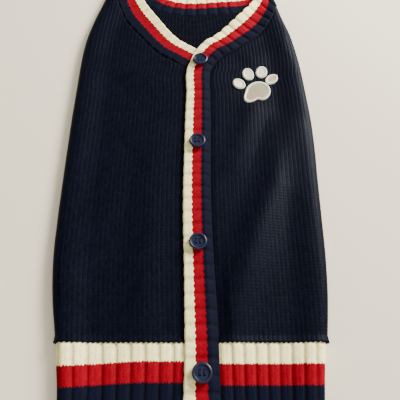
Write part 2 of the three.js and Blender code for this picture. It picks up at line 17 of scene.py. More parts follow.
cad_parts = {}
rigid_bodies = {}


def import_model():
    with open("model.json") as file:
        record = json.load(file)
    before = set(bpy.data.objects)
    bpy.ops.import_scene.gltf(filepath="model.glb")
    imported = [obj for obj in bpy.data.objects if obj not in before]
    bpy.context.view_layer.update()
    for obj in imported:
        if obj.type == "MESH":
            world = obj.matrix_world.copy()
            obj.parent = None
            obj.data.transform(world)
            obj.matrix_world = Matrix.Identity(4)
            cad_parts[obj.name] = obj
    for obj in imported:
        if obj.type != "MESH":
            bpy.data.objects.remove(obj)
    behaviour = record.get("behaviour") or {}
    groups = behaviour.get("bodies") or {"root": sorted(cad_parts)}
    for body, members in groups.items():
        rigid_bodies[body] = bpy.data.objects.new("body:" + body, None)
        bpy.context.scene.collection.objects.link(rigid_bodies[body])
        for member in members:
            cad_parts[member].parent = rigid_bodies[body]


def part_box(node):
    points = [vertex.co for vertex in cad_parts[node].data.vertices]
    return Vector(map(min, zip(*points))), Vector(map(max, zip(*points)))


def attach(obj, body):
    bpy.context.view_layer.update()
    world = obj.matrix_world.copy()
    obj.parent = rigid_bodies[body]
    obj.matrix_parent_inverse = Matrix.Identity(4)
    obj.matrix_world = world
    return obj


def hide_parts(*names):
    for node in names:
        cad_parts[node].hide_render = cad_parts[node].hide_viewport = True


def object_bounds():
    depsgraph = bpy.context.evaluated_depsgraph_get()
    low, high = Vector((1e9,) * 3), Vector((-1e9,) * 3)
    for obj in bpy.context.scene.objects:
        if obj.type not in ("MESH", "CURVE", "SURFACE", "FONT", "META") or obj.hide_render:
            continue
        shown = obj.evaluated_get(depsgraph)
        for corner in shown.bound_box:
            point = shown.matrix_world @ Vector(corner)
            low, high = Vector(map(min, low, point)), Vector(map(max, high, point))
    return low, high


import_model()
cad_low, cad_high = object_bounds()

MM = 0.001
print("packed vest, mm:", [round((b - a) / MM, 1) for a, b in zip(cad_low, cad_high)])

# %% [markdown]
# ## The vest's own sizes
# A pattern maker works from a few measurements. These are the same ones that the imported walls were
# drawn from, in millimetres, with y measured up from the hem's lower edge. Each table has named
# columns and a row for each place where the width was measured.

# %% Sizes of the cloth
KNIT = 2.8                  # thickness of the stocking-stitch panels
RIB = 2.6                   # thickness of a trim under its ribs
RIB_RISE = 1.2              # a rib stands this far above its groove
LAYER = 3.0                 # inside of the upper layer above the table
FOLD_HEIGHT = 9.5           # height of the rolled side folds
FOLD_ROUND = 7.0            # how far in from the outline a side fold rolls over
FOLD_REACH = 32.0           # how far in the upper layer comes back down
UNDER = 14.0                # width of a half that wraps round underneath
SEAM = 0.35                 # space between two pieces at a seam
PLACKET_TOP = 316           # height of the placket's last row before the V starts
HEM_TOP = 49.3              # height of the ribbed hem, where the panels start
OVERLAP = 3.1               # the placket rides up this far over the band under it
TUCK = 2.5                  # the left half runs in this far under the placket
WALE = 3.87                 # width of one column of stitches
COURSE = 2.7                # height of one row of stitches
RIB_PITCH = 12.0            # one rib and its groove on the placket and neckband
HEM_PITCH = {1: 9.1, -1: 10.8}  # the same on the hem's right and left halves, which is stretched
MIDDLE_Y = (cad_high[1] - cad_low[1]) / MM / 2
print("one stitch, mm:", WALE, "by", COURSE)

# %% Measured lines of the vest
def columns(names, rows):
    """A table of measurements as named columns."""
    return dict(zip(names.split(), np.array(rows, float).T))


OUTLINE = columns("y left right", [
    (49.65, -100.5, 104.2), (80, -106.9, 108.3), (113, -111.2, 110.8), (149, -112.7, 111.9),
    (188, -113.3, 112.8), (220, -113.6, 113.8), (254, -113.8, 113.7), (283, -113.5, 112.2),
    (316, -113.2, 110.0), (343, -112.1, 106.9), (364, -109.4, 103.2), (386, -104.6, 97.2),
    (405, -99.6, 92.7), (418, -96.4, 88.8), (434, -91.0, 79.0), (457, -72.0, 66.0)])
HEM_OUTLINE = columns("y left right", [
    (0, -92, 95.5), (12, -93.2, 96.9), (30, -96.2, 99.4), (49.3, -99.3, 102.7)])
# A trim runs from its seam on the panel to its free edge.
PLACKET = columns("seam_x seam_y edge_x edge_y", [
    (23.4, 0, -3.6, 0), (22.5, 30, -2.7, 30), (22.0, 49.65, -2.9, 49.65), (20.6, 80, -3.8, 80),
    (19.0, 113, -4.7, 113), (17.8, 149, -5.7, 149), (17.3, 188, -6.2, 188), (17.7, 220, -6.0, 220),
    (18.1, 254, -5.4, 254), (17.9, 283, -4.5, 283), (19.3, 316, -4.0, 316), (25.0, 326, 2.8, 336)])
# over is how far it rides up, curl how far its edge lifts, and rib how much of its ribs shows.
NECK_RIGHT = columns("seam_x seam_y edge_x edge_y over curl rib", [
    (25.0, 326, 2.8, 336, OVERLAP, 0, 1), (33.0, 334, 12.0, 349.5, OVERLAP, 0, 1),
    (46.0, 343, 26.0, 360.5, 1.5, 1.5, 1), (57.0, 353, 36.0, 370.5, 0, 4, 1),
    (70.7, 364, 46.0, 380.5, 0, 6.5, 1), (79.5, 375, 55.5, 391.5, 0, 7.5, 1),
    (85.5, 386, 63.5, 403, 0, 6, 1), (87.4, 389.5, 67.5, 410, 0, 4.5, 1),
    (92.7, 405, 80.2, 432, 0, 0, 1), (99.7, 405, 87.2, 432, 0, 0, 0), (106.7, 405, 94.8, 431, 0, 0, 0)])
NECK_LEFT = columns("seam_x seam_y edge_x edge_y over curl rib", [
    (-1.5, 316, 14.0, 334, 0, 0, 0), (-12.6, 323, 6.0, 342.5, 0, 0, 0),
    (-21.3, 329, -2.9, 348.4, 0, 0, 1), (-33.5, 337, -14.0, 356, 0, 0.5, 1),
    (-39.5, 343, -19.5, 361.5, 0, 1, 1), (-47.0, 352, -25.5, 369, 0, 1.5, 1),
    (-56.2, 364, -33.0, 380, 0, 2, 1), (-64.7, 375, -40.0, 391, 0, 2, 1),
    (-71.9, 386, -45.5, 399.5, 0, 2, 1), (-79.5, 405, -53.5, 414, 0, 1.5, 1),
    (-84.8, 421, -61.0, 434, 0, 1, 1), (-91.0, 434, -73.0, 455.8, 0, 0, 1),
    (-98.0, 434, -79.5, 456.5, 0, 0, 0), (-105.0, 434, -85.8, 456.5, 0, 0, 0)])
NECK_CHEST = columns("seam_x seam_y edge_x edge_y", [
    (-76.7, 434, -58.5, 456.5), (-62.0, 423.5, -45.0, 445), (-48.7, 411.5, -33.0, 434),
    (-32.5, 400.8, -22.0, 426.3), (-16.0, 396, -11.5, 423), (-0.6, 394.6, -0.2, 422),
    (12.0, 395.3, 11.0, 422.6), (29.0, 397, 26.5, 424.3), (48.5, 398.7, 43.5, 425.8),
    (65.0, 402.3, 58.0, 429), (78.4, 405, 66.2, 431)])
# Soft creases of the panels, each from one place and height to another.
CREASES = columns("from_x from_y from_high to_x to_y to_high wide", [
    (89, 240, 2.2, 75, 182, 4.4, 14), (75, 182, 4.4, 56, 138, 4.8, 14), (56, 138, 4.8, 36, 78, 3.6, 14),
    (36, 78, 3.6, 33, 52, 2.2, 14), (62, 330, 1.4, 92, 342, 2.2, 12), (58, 262, 1.8, 40, 205, 0.8, 12),
    (-78, 322, 1.0, -36, 300, 0.5, 16), (-70, 196, 0.8, -92, 95, 1.8, 16),
    (-34, 230, 0.8, -36, 62, 1.8, 14)])
print("outline rows:", len(OUTLINE["y"]), "widest, mm:", OUTLINE["right"].max() - OUTLINE["left"].min())

# %% [markdown]
# ## Placing cloth on the flattened tube
# Laid flat, the vest is a tube of cloth pressed nearly shut. Every knitted piece is therefore drawn
# on one surface: the upper layer, the rolled side fold, and the strip that runs back underneath.
# Stretching flat grids over a shared surface keeps neighbouring pieces in step, which modelling each
# piece by eye would not. Between the table's rows a smooth curve is used, so no outline has corners.

# %% Curves through the tables
def read(table, by, at, want):
    """Smooth curve through one column of a table, read at places in another column."""
    x, y = table[by], table[want]
    slope = np.gradient(y, x)
    at = np.clip(at, x[0], x[-1])
    k = np.clip(np.searchsorted(x, at) - 1, 0, len(x) - 2)
    run = x[k + 1] - x[k]
    t = (at - x[k]) / run
    keep = (1 + 2 * t) * (1 - t) ** 2 * y[k] + t * t * (3 - 2 * t) * y[k + 1]
    return keep + run * t * (1 - t) * ((1 - t) * slope[k] - t * slope[k + 1])


def smoothstep(value, low, high):
    t = np.clip((value - low) / (high - low), 0, 1)
    return t * t * (3 - 2 * t)


def crease_height(x, y):
    """Height of the soft creases at a place on the upper layer. The placket stays flat."""
    height = np.zeros(np.broadcast(x, y).shape)
    for from_x, from_y, from_high, to_x, to_y, to_high, wide in zip(*CREASES.values()):
        run_x, run_y = to_x - from_x, to_y - from_y
        t = np.clip(((x - from_x) * run_x + (y - from_y) * run_y) / (run_x**2 + run_y**2), 0, 1)
        away = np.hypot(x - from_x - t * run_x, y - from_y - t * run_y)
        crest = from_high + (to_high - from_high) * t
        height = np.maximum(height, crest * np.exp(-((away / wide) ** 2)))
    return height * smoothstep(np.abs(x - placket_middle(y)), 13.5, 24)


def placket_seam(y):
    """Where the right half meets the placket."""
    return read(PLACKET, "seam_y", y, "seam_x")


def placket_edge(y):
    """The placket's free edge, straight on above its last full row."""
    return read(PLACKET, "seam_y", np.minimum(y, PLACKET_TOP), "edge_x")


def placket_middle(y):
    return (placket_seam(np.minimum(y, PLACKET_TOP)) + placket_edge(y)) / 2


def fold_x(side, y, outline=OUTLINE):
    """The outline on the right side, 1, or the left side, -1."""
    return read(outline, "y", y, "right" if side > 0 else "left")


print("placket, mm wide at the chest:", round(float(placket_seam(220) - placket_edge(220)), 1))

# %% The shared surface
def on_tube(side, inward, y, depth, outline=OUTLINE):
    """Points on the cloth: inward from the outline, negative underneath, and depth into the cloth."""
    inward, y, depth = np.broadcast_arrays(inward, y, depth)
    far, half = np.abs(inward), FOLD_HEIGHT / 2
    fold = fold_x(side, y, outline)
    angle = np.clip(far / FOLD_ROUND, 0, 1) * math.pi / 2
    flat_x = fold - side * far
    rise = (FOLD_HEIGHT - LAYER - KNIT) * (1 - smoothstep(far, FOLD_ROUND, FOLD_REACH))
    top = LAYER + KNIT + rise + crease_height(flat_x, y) - depth
    rolled = far < FOLD_ROUND
    x = np.where(rolled, fold - side * (FOLD_ROUND - (FOLD_ROUND - depth) * np.cos(angle)), flat_x)
    z = np.where(rolled, half + np.sign(inward) * (half - depth) * np.sin(angle),
                 np.where(inward < 0, depth, top))
    return np.stack([x, y, z], axis=-1)


# Length of cloth round half a side fold, which is a quarter of an oval.
ROLL = math.pi / 2 * math.sqrt((FOLD_ROUND**2 + (FOLD_HEIGHT / 2) ** 2) / 2)


def inward_of(path):
    """Distance in from the outline, for a length of cloth measured from the tip of the fold."""
    far = np.abs(path)
    return np.sign(path) * np.where(far < ROLL, far * FOLD_ROUND / ROLL, FOLD_ROUND + far - ROLL)


print("cloth round one side fold, mm:", round(2 * ROLL, 1))

# %% [markdown]
# ## What a stitch looks like
# Stocking stitch is columns of small Vs. Each leg of a V is a short length of yarn that leans out
# from the middle of its column, and it dips where the next one passes under it. A rib has two such
# columns side by side and then a sunken purl column. The form is worked out at each grid point from
# its place counted in stitches, so the relief is real geometry and catches the light at any angle.

# %% Relief of a stitch
STITCH_RISE = 0.50          # from the gap between two columns to the top of a leg
LEAN = 0.7                  # how far a leg climbs across half a column, in rows
GROOVE = 0.16               # share of a rib's width that is its sunk purl column


def leg_lean(wale):
    """0 in the middle of a column of stitches and 1 between two columns."""
    return np.abs(2 * (wale % 1) - 1)


def leg(wale, course):
    """Roundness of a stitch's leg, from 0 where the next one covers it to 1 at its middle."""
    grain = (course - LEAN * leg_lean(wale)) % 1
    return 1 - np.abs(2 * grain - 1) ** 1.3


def stocking(wale, course):
    """Relief of stocking stitch from 0 to 1, at a place counted in columns and rows."""
    across = wale % 1
    column = 0.3 + 0.7 * np.sin(math.pi * across) ** 0.3
    middle = 1 - 0.18 * np.exp(-(((across - 0.5) / 0.1) ** 2))
    return column * middle * (0.1 + 0.9 * leg(wale, course))


def rib(repeat, course):
    """Height of a 2-and-1 rib in mm, its place in columns, and the lean of its stitches."""
    part = repeat % 1
    lobe = np.clip((part - GROOVE) / (1 - GROOVE), 0, 1)
    wale = 2 * lobe + 3 * np.floor(repeat)
    hump = np.sin(math.pi * lobe) ** 0.42 * (1 - 0.16 * np.exp(-(((lobe - 0.5) / 0.07) ** 2)))
    height = RIB_RISE * hump * (0.84 + 0.16 * leg(wale, course))
    in_groove = part < GROOVE
    purl = 0.5 + 0.5 * np.sin(2 * math.pi * course)
    bump = 0.1 * np.sin(math.pi * np.clip(part / GROOVE, 0, 1)) * purl
    return np.where(in_groove, bump, height), wale, np.where(in_groove, 0.6, leg_lean(wale))


print("stitches to 100 mm:", round(100 / WALE), "columns,", round(100 / COURSE), "rows")

# %% [markdown]
# ## A grid of cloth
# Each piece starts as a flat grid from create_grid. Its points are then laid on the shared surface,
# the cells past a cut edge are deleted, and the edge points are drawn back onto the cut. Last, the
# open edges are extruded inward, as a real cut edge has thickness. Each point keeps its place in
# stitches, how high it stands and which stripe it is in, for the yarn's material to read.

# %% Lay a grid as cloth
def new_grid(across, along):
    """Flat grid, with the column and row number of each of its points."""
    cloth = bmesh.new()
    bmesh.ops.create_grid(cloth, x_segments=across, y_segments=along, size=0.5)
    flat = np.array([v.co[:2] for v in cloth.verts])
    column = np.rint((flat[:, 0] + 0.5) * across)
    row = np.rint((flat[:, 1] + 0.5) * along)
    return cloth, column, row


def lay(cloth, points, wale, course, relief, stripe):
    """Moves a grid's points onto the cloth, in metres, and stores what the yarn's material reads."""
    knit = cloth.verts.layers.float_vector.new("knit")
    band = cloth.verts.layers.float.new("stripe")
    places = (points - np.array([0, MIDDLE_Y, 0])) * MM
    facts = np.stack(np.broadcast_arrays(wale, course, relief), axis=-1)
    stripe = np.broadcast_to(stripe, relief.shape)
    for v, place, fact, colour in zip(cloth.verts, places.tolist(), facts.tolist(), stripe.tolist()):
        v.co = place
        v[knit] = fact
        v[band] = colour


print("each point keeps: knit (column, row, relief) and stripe")

# %% Cut and finish a grid
def cut_away(cloth, past):
    """Deletes the cells that lie wholly past a cut. past is how far each point is beyond it."""
    doomed = [f for f in cloth.faces if all(past[v.index] > 0 for v in f.verts)]
    bmesh.ops.delete(cloth, geom=doomed, context="FACES")
    loose = [v for v in cloth.verts if not v.link_faces]
    bmesh.ops.delete(cloth, geom=loose, context="VERTS")


def turn_edges(cloth, depth):
    """Extrudes every open edge into the cloth, so that the edge has thickness."""
    cloth.normal_update()
    edges = [e for e in cloth.edges if e.is_boundary]
    normals = {v: v.normal.copy() for e in edges for v in e.verts}
    made = bmesh.ops.extrude_edge_only(cloth, edges=edges)["geom"]
    for v in made:
        if isinstance(v, bmesh.types.BMVert):
            source = next(e.other_vert(v) for e in v.link_edges if e.other_vert(v) in normals)
            v.co -= normals[source] * depth * MM
            v.co.z = max(v.co.z, 0)      # nothing goes through the table


def finish_piece(name, cloth, material):
    """Turns a bmesh into a piece with its material, and says how big it is."""
    mesh = bpy.data.meshes.new(name)
    cloth.to_mesh(mesh)
    cloth.free()
    piece = bpy.data.objects.new(name, mesh)
    bpy.context.collection.objects.link(piece)
    mesh.materials.append(material)
    mesh.shade_smooth()
    triangles = sum(len(p.vertices) - 2 for p in mesh.polygons)
    print(f"{name}: {triangles} triangles")
    return piece


def facing(cloth, outward_z=1):
    """Turns a sheet over if most of its faces point the wrong way."""
    cloth.normal_update()
    if sum(f.normal.z * f.calc_area() for f in cloth.faces) * outward_z < 0:
        bmesh.ops.reverse_faces(cloth, faces=cloth.faces)


print("helpers for cutting, edging and finishing are ready")

# %% [markdown]
# ## Short words for shader nodes
# A material can be wired by hand in the shader editor. Written as code, the same few nodes come up
# again and again, so each gets a small function that takes plain values or other nodes' outputs.

# %% Node helpers
def group(name, inputs, outputs):
    """Empty shader group with named inputs and outputs."""
    tree = bpy.data.node_groups.new(name, "ShaderNodeTree")
    for label, kind, value in inputs:
        made = tree.interface.new_socket(label, in_out="INPUT", socket_type="NodeSocket" + kind)
        if value is not None:
            made.default_value = value
    for label, kind in outputs:
        tree.interface.new_socket(label, in_out="OUTPUT", socket_type="NodeSocket" + kind)
    return tree, tree.nodes.new("NodeGroupInput"), tree.nodes.new("NodeGroupOutput")


def math_node(tree, operation, first, second=None, third=None):
    node = tree.nodes.new("ShaderNodeMath")
    node.operation = operation
    for k, value in enumerate((first, second, third)):
        if value is None:
            continue
        if isinstance(value, (int, float)):
            node.inputs[k].default_value = value
        else:
            tree.links.new(value, node.inputs[k])
    return node.outputs[0]


def mix_colour(tree, share, first, second):
    node = tree.nodes.new("ShaderNodeMix")
    node.data_type = "RGBA"
    for socket, value in ((node.inputs[0], share), (node.inputs[6], first), (node.inputs[7], second)):
        if isinstance(value, (int, float, tuple)):
            socket.default_value = value
        else:
            tree.links.new(value, socket)
    return node.outputs[2]


def noise(tree, scale, detail, coordinates):
    node = tree.nodes.new("ShaderNodeTexNoise")
    node.inputs["Scale"].default_value = scale
    node.inputs["Detail"].default_value = detail
    tree.links.new(coordinates, node.inputs["Vector"])
    return node.outputs[0]


print("helpers for plain nodes are ready")

# %% Helpers for soft steps, materials and groups in them
def step_node(tree, value, low, high):
    """0 under low and 1 over high, soft between."""
    node = tree.nodes.new("ShaderNodeMapRange")
    node.interpolation_type = "SMOOTHSTEP"
    tree.links.new(value, node.inputs["Value"])
    for label, socket in (("From Min", low), ("From Max", high)):
        if isinstance(socket, (int, float)):
            node.inputs[label].default_value = socket
        else:
            tree.links.new(socket, node.inputs[label])
    return node.outputs["Result"]


def new_material(name):
    made = bpy.data.materials.new(name)
    made.use_nodes = True
    return made, made.node_tree, made.node_tree.nodes["Principled BSDF"]


def use(tree, shared, **values):
    """Puts a group into a material and sets its inputs."""
    node = tree.nodes.new("ShaderNodeGroup")
    node.node_tree = shared
    for label, value in values.items():
        socket = node.inputs[label.replace("_", " ")]
        if isinstance(value, bpy.types.NodeSocket):
            tree.links.new(value, socket)
        else:
            socket.default_value = value
    return node


print("helpers for materials are ready")

# %% [markdown]
# ## Yarn
# The real cloth is spun yarn, matt with a soft halo of fibres. One group of nodes gives the small
# unevenness of fibres, a painted shade that darkens the hollows between stitches, and a slight change
# from one stitch's leg to the next. Every yarn here uses it with its own values, and a change to the
# group changes them all. An image of knitting would slide off the real stitches, so none is used.

# %% Yarn group
# Painted shade: the near-black that the yarn's colour is mixed towards in the hollows between stitches.
HOLLOW_PAINTED_SHADE = (0.004, 0.004, 0.007, 1)       # colour deep between the stitches


def yarn_group():
    """Colour with painted shade in its hollows, roughness and fine height of knitted yarn, from its plain
    colour.
    """
    tree, given, out = group("Yarn", [
        ("Colour", "Color", (0.5, 0.5, 0.5, 1)), ("Hollow shade", "Float", 0.5),
        ("Fibre height", "Float", 1.0), ("Unevenness", "Float", 0.1), ("Stitch variation", "Float", 0.3),
        ("Roughness", "Float", 0.85),
    ], [("Colour", "Color"), ("Roughness", "Float"), ("Height", "Float")])
    place = tree.nodes.new("ShaderNodeTexCoord").outputs["Object"]
    knit = tree.nodes.new("ShaderNodeAttribute")
    knit.attribute_name = "knit"
    parts = tree.nodes.new("ShaderNodeSeparateXYZ")
    tree.links.new(knit.outputs["Vector"], parts.inputs[0])
    fibres = noise(tree, 1900, 3, place)
    blotch = noise(tree, 55, 2, place)
    plies = noise(tree, 620, 2, place)
    # Painted shade: where the stored relief is low, the colour is mixed towards HOLLOW_PAINTED_SHADE.
    deep = math_node(tree, "SUBTRACT", 1.0, step_node(tree, parts.outputs["Z"], 0.0, 0.8))
    shade = math_node(tree, "MULTIPLY", deep, given.outputs["Hollow shade"])
    shaded = mix_colour(tree, shade, given.outputs["Colour"], HOLLOW_PAINTED_SHADE)
    level = math_node(tree, "MULTIPLY_ADD", fibres, 1.1, math_node(tree, "MULTIPLY", plies, 0.9))
    level = math_node(tree, "ADD", level, math_node(tree, "MULTIPLY", blotch, 0.5))
    lean = math_node(tree, "MULTIPLY_ADD", math_node(tree, "FRACT", parts.outputs["X"]), 2.0, -1.0)
    row = math_node(tree, "SUBTRACT", parts.outputs["Y"], math_node(tree, "ABSOLUTE", lean))
    one_leg = tree.nodes.new("ShaderNodeCombineXYZ")
    half_column = math_node(tree, "FLOOR", math_node(tree, "MULTIPLY", parts.outputs["X"], 2.0))
    tree.links.new(half_column, one_leg.inputs[0])
    tree.links.new(math_node(tree, "FLOOR", row), one_leg.inputs[1])
    chance = tree.nodes.new("ShaderNodeTexWhiteNoise")
    chance.noise_dimensions = "2D"
    tree.links.new(one_leg.outputs[0], chance.inputs["Vector"])
    stitch = math_node(tree, "MULTIPLY", math_node(tree, "SUBTRACT", chance.outputs["Value"], 0.5),
                       given.outputs["Stitch variation"])
    uneven = math_node(tree, "SUBTRACT", level, 1.25)
    change = math_node(tree, "MULTIPLY", uneven, given.outputs["Unevenness"])
    change = math_node(tree, "ADD", change, stitch)
    bright = tree.nodes.new("ShaderNodeVectorMath")
    bright.operation = "SCALE"
    tree.links.new(shaded, bright.inputs[0])
    tree.links.new(math_node(tree, "ADD", change, 1.0), bright.inputs["Scale"])
    tree.links.new(bright.outputs[0], out.inputs["Colour"])
    rough = math_node(tree, "MULTIPLY_ADD", fibres, 0.12, given.outputs["Roughness"])
    tree.links.new(math_node(tree, "SUBTRACT", rough, 0.06), out.inputs["Roughness"])
    height = math_node(tree, "MULTIPLY_ADD", plies, 0.6, fibres)
    tree.links.new(math_node(tree, "MULTIPLY", height, given.outputs["Fibre height"]), out.inputs["Height"])
    return tree


YARN = yarn_group()
print("yarn group:", YARN.name, "with", len(YARN.nodes), "nodes")

# %% [markdown]
# ## Stripes
# A knitter makes a stripe by changing yarn for some rows. Separate pieces for each colour would need
# seams that the real trim doesn't have, so the colour is chosen in the material. It is read from a
# value stored at each point, from 0 at the seam to 1 at the free edge, and the value has small
# notches, so a change of colour follows the zigzag of the stitches.

# %% Stripes group
NAVY_ENDS, RED_ENDS = 0.365, 0.66   # where red and cream begin, as shares of the hem's height


def stripes_group():
    """Navy from the seam, then red, then cream at the free edge."""
    tree, given, out = group("Stripes", [
        ("Place", "Float", 0.0), ("Navy ends", "Float", NAVY_ENDS), ("Red ends", "Float", RED_ENDS),
        ("Navy", "Color", (0, 0, 0, 1)), ("Red", "Color", (1, 0, 0, 1)), ("Cream", "Color", (1, 1, 1, 1)),
    ], [("Colour", "Color")])
    soft = 0.006
    red = step_node(tree, given.outputs["Place"], given.outputs["Navy ends"],
                    math_node(tree, "ADD", given.outputs["Navy ends"], soft))
    cream = step_node(tree, given.outputs["Place"], given.outputs["Red ends"],
                      math_node(tree, "ADD", given.outputs["Red ends"], soft))
    inner = mix_colour(tree, red, given.outputs["Navy"], given.outputs["Red"])
    tree.links.new(mix_colour(tree, cream, inner, given.outputs["Cream"]), out.inputs["Colour"])
    return tree


STRIPES = stripes_group()
print("stripes group:", STRIPES.name, "navy to", NAVY_ENDS, "red to", RED_ENDS)

# %% [markdown]
# ## The knit's materials
# Dark navy yarn shows mostly by its sheen: its own colour is nearly black, and a small bluish gloss
# picks out the creases. The belly's inside is the purl side, which is duller; its colour is also
# darkened as a painted shade, for it lies in shade under the upper layer. The striped yarn is brighter:
# its navy is lighter than the panels' as a painted sheen, since the striped material is nearly matt,
# and it has less painted shade in its hollows where the yarn is red or cream.

# %% Materials of the knit
FIBRE_DEPTH = 0.16          # depth of the fine fibre relief


def dress(tree, shader, yarn, bump, threads=None):
    """Joins the yarn group to the shader, with any threads added to its fine height."""
    tree.links.new(yarn.outputs["Colour"], shader.inputs["Base Color"])
    tree.links.new(yarn.outputs["Roughness"], shader.inputs["Roughness"])
    relief = tree.nodes.new("ShaderNodeBump")
    relief.inputs["Distance"].default_value = bump * MM
    relief.inputs["Strength"].default_value = 1.0
    height = yarn.outputs["Height"]
    if threads:
        height = math_node(tree, "MULTIPLY_ADD", threads, 1.5, height)
    tree.links.new(height, relief.inputs["Height"])
    tree.links.new(relief.outputs[0], shader.inputs["Normal"])


NAVY = (0.0015, 0.0020, 0.0074, 1)
# Painted shade: a darker copy of NAVY for the belly's inside, which lies in shade.
NAVY_IN_SHADE = (0.0011, 0.0015, 0.0055, 1)
RED = (0.205, 0.0001, 0.0072, 1)
# Painted sheen: the trims' navy is the panels' yarn, made lighter in place of the gloss the matt striped
# material leaves out.
TRIM_NAVY_PAINTED_SHEEN = (0.0030, 0.0039, 0.0128, 1)
CREAM = (0.99, 0.905, 0.45, 1)

navy_knit, tree, shader = new_material("navy yarn")
yarn = use(tree, YARN, Colour=NAVY, Hollow_shade=0.85, Fibre_height=1.0, Unevenness=0.7,
           Stitch_variation=0.6, Roughness=0.47)
dress(tree, shader, yarn, FIBRE_DEPTH)
shader.inputs["Specular IOR Level"].default_value = 0.045
shader.inputs["Specular Tint"].default_value = (0.62, 0.78, 1.0, 1)

# Purl side: its dullness is real roughness, and its darker colour is painted shade under the upper layer.
navy_purl_painted_shade, tree, shader = new_material("navy yarn purl side")
yarn = use(tree, YARN, Colour=NAVY_IN_SHADE, Hollow_shade=0.9, Fibre_height=1.0, Unevenness=0.7,
           Stitch_variation=0.5, Roughness=0.85)
dress(tree, shader, yarn, FIBRE_DEPTH)
shader.inputs["Specular IOR Level"].default_value = 0.03
shader.inputs["Specular Tint"].default_value = (0.55, 0.72, 1.0, 1)

striped_rib, tree, shader = new_material("striped yarn")
stripe = tree.nodes.new("ShaderNodeAttribute")
stripe.attribute_name = "stripe"
colours = use(tree, STRIPES, Place=stripe.outputs["Fac"], Navy=TRIM_NAVY_PAINTED_SHEEN, Red=RED, Cream=CREAM)
hollows = use(tree, STRIPES, Place=stripe.outputs["Fac"], Navy=(0.7, 0.7, 0.7, 1),
              Red=(0.08, 0.08, 0.08, 1), Cream=(0.3, 0.3, 0.3, 1))
yarn = use(tree, YARN, Colour=colours.outputs["Colour"], Hollow_shade=hollows.outputs["Colour"],
           Fibre_height=1.0, Unevenness=0.22, Stitch_variation=0.2, Roughness=0.82)
dress(tree, shader, yarn, FIBRE_DEPTH)
shader.inputs["Specular IOR Level"].default_value = 0.04
print("materials:", navy_knit.name, navy_purl_painted_shade.name, striped_rib.name)

# %% [markdown]
# ## The two stocking-stitch halves
# These are the big navy pieces: each starts at the placket, runs over its side fold and ends in a
# strip underneath. Their columns of stitches run up the vest and lean in a little with its outline,
# so the columns are counted from the placket and made narrower where the vest is narrower.

# %% Columns of stitches on a half
PER_WALE = 6                # grid columns to a column of stitches
PER_COURSE = 3              # grid rows to a row of stitches
HANG = 1.6                  # how far the panel's last stitches hang over the hem
FULL_WIDTH = 119.0          # length of cloth from the placket's middle to a fold, where widest


def to_fold(side, y):
    """Length of cloth from the placket's middle line to the tip of a side fold."""
    return np.abs(fold_x(side, y) - placket_middle(y)) - FOLD_ROUND + ROLL


def wale_width(side, y):
    """Width of a column, which narrows half as fast as the vest does."""
    return WALE * (0.5 + 0.5 * to_fold(side, y) / FULL_WIDTH)


print("columns on a half, placket to fold:", round(FULL_WIDTH / WALE))

# %% [markdown]
# Where the neckline cuts a half, the rows are squeezed down to the cut instead of being sliced, so
# the columns end cleanly at the seam. The panel's edges dip a little under the trims, as sewn knit
# does, and its last row hangs in small teeth over the hem.

# %% A half of stocking stitch
def half_back(name, side, neck, inner_x, fold_top):
    """Sheet of stocking stitch from the placket round to the underside."""
    last = math.ceil((FULL_WIDTH + ROLL + UNDER - FOLD_ROUND) / WALE) + 1
    first = 2                   # the columns before it would lie under the placket
    rows = math.ceil((fold_top - HEM_TOP + HANG) / COURSE)
    cloth, column, row = new_grid((last - first) * PER_WALE, rows * PER_COURSE)
    wale = first + column / PER_WALE
    tooth = 1.1 * (1 - leg_lean(wale)) * np.exp(-row / PER_COURSE)
    start = HEM_TOP + SEAM - HANG - tooth + row / PER_COURSE * COURSE
    y = np.minimum(start, fold_top)
    start = y.copy()
    for _ in range(4):          # each pass settles the columns where the neckline lowers y
        path = to_fold(side, y) - wale * wale_width(side, y)
        x = fold_x(side, y) - side * np.maximum(inward_of(path), 0)
        up_to = read(neck, "seam_x" if side > 0 else "minus_x", side * x, "seam_y")
        limit = np.where(side * x < side * neck["seam_x"][0], neck["seam_y"][0], up_to)
        limit = np.minimum(np.where(path < ROLL, fold_top, limit), fold_top)
        y = np.minimum(start, limit)
    past_neck = start - y - 1e-9
    inward = inward_of(path)
    seam_inward = side * (fold_x(side, y) - inner_x(y))
    past_placket = inward - seam_inward
    past_under = -UNDER - inward
    inward = np.clip(inward, -UNDER, seam_inward)
    course = (start - HEM_TOP) / COURSE
    relief = stocking(wale, course)
    to_edge = np.minimum(seam_inward - inward, np.where(path < ROLL, 99, limit - y))
    dip = 1.1 * np.exp(-np.maximum(to_edge, 0) / 1.8)
    under = smoothstep(-inward, 0, FOLD_ROUND)
    lip = 1.2 * (1 - smoothstep(start - HEM_TOP + HANG, 0.5, 6))
    stretch = 1 + 0.8 * smoothstep(y, 200, 400)
    depth = STITCH_RISE * stretch * (0.6 + 0.4 * under - relief) + (dip - lip) * (1 - under)
    waver = 0.1 * np.sin(wale * 1.7 + course * 0.31) * np.sin(course * 0.113 + wale * 0.37)
    lay(cloth, on_tube(side, inward + waver, y, depth), wale, course, relief, 0.0)
    past = np.maximum(np.maximum(past_neck, past_placket), past_under)
    cut_away(cloth, past)
    facing(cloth)
    turn_edges(cloth, 2.0)
    return finish_piece(name, cloth, navy_knit)


print("grid cells to a stitch:", PER_WALE * PER_COURSE)

# %% Both halves
RIGHT_TOP, LEFT_TOP = 404.3, 433.3  # height of each half at its side fold


def right_seam(y):
    """The right half's edge along the placket."""
    return placket_seam(y) + SEAM


def left_tuck(y):
    """The left half's edge, tucked in under the placket."""
    return placket_edge(y) + TUCK


NECK_LEFT["minus_x"] = -NECK_LEFT["seam_x"]
pieces = {}
pieces["back_right"] = half_back("back_right_knit", 1, NECK_RIGHT, right_seam, RIGHT_TOP)
pieces["back_left"] = half_back("back_left_knit", -1, NECK_LEFT, left_tuck, LEFT_TOP)

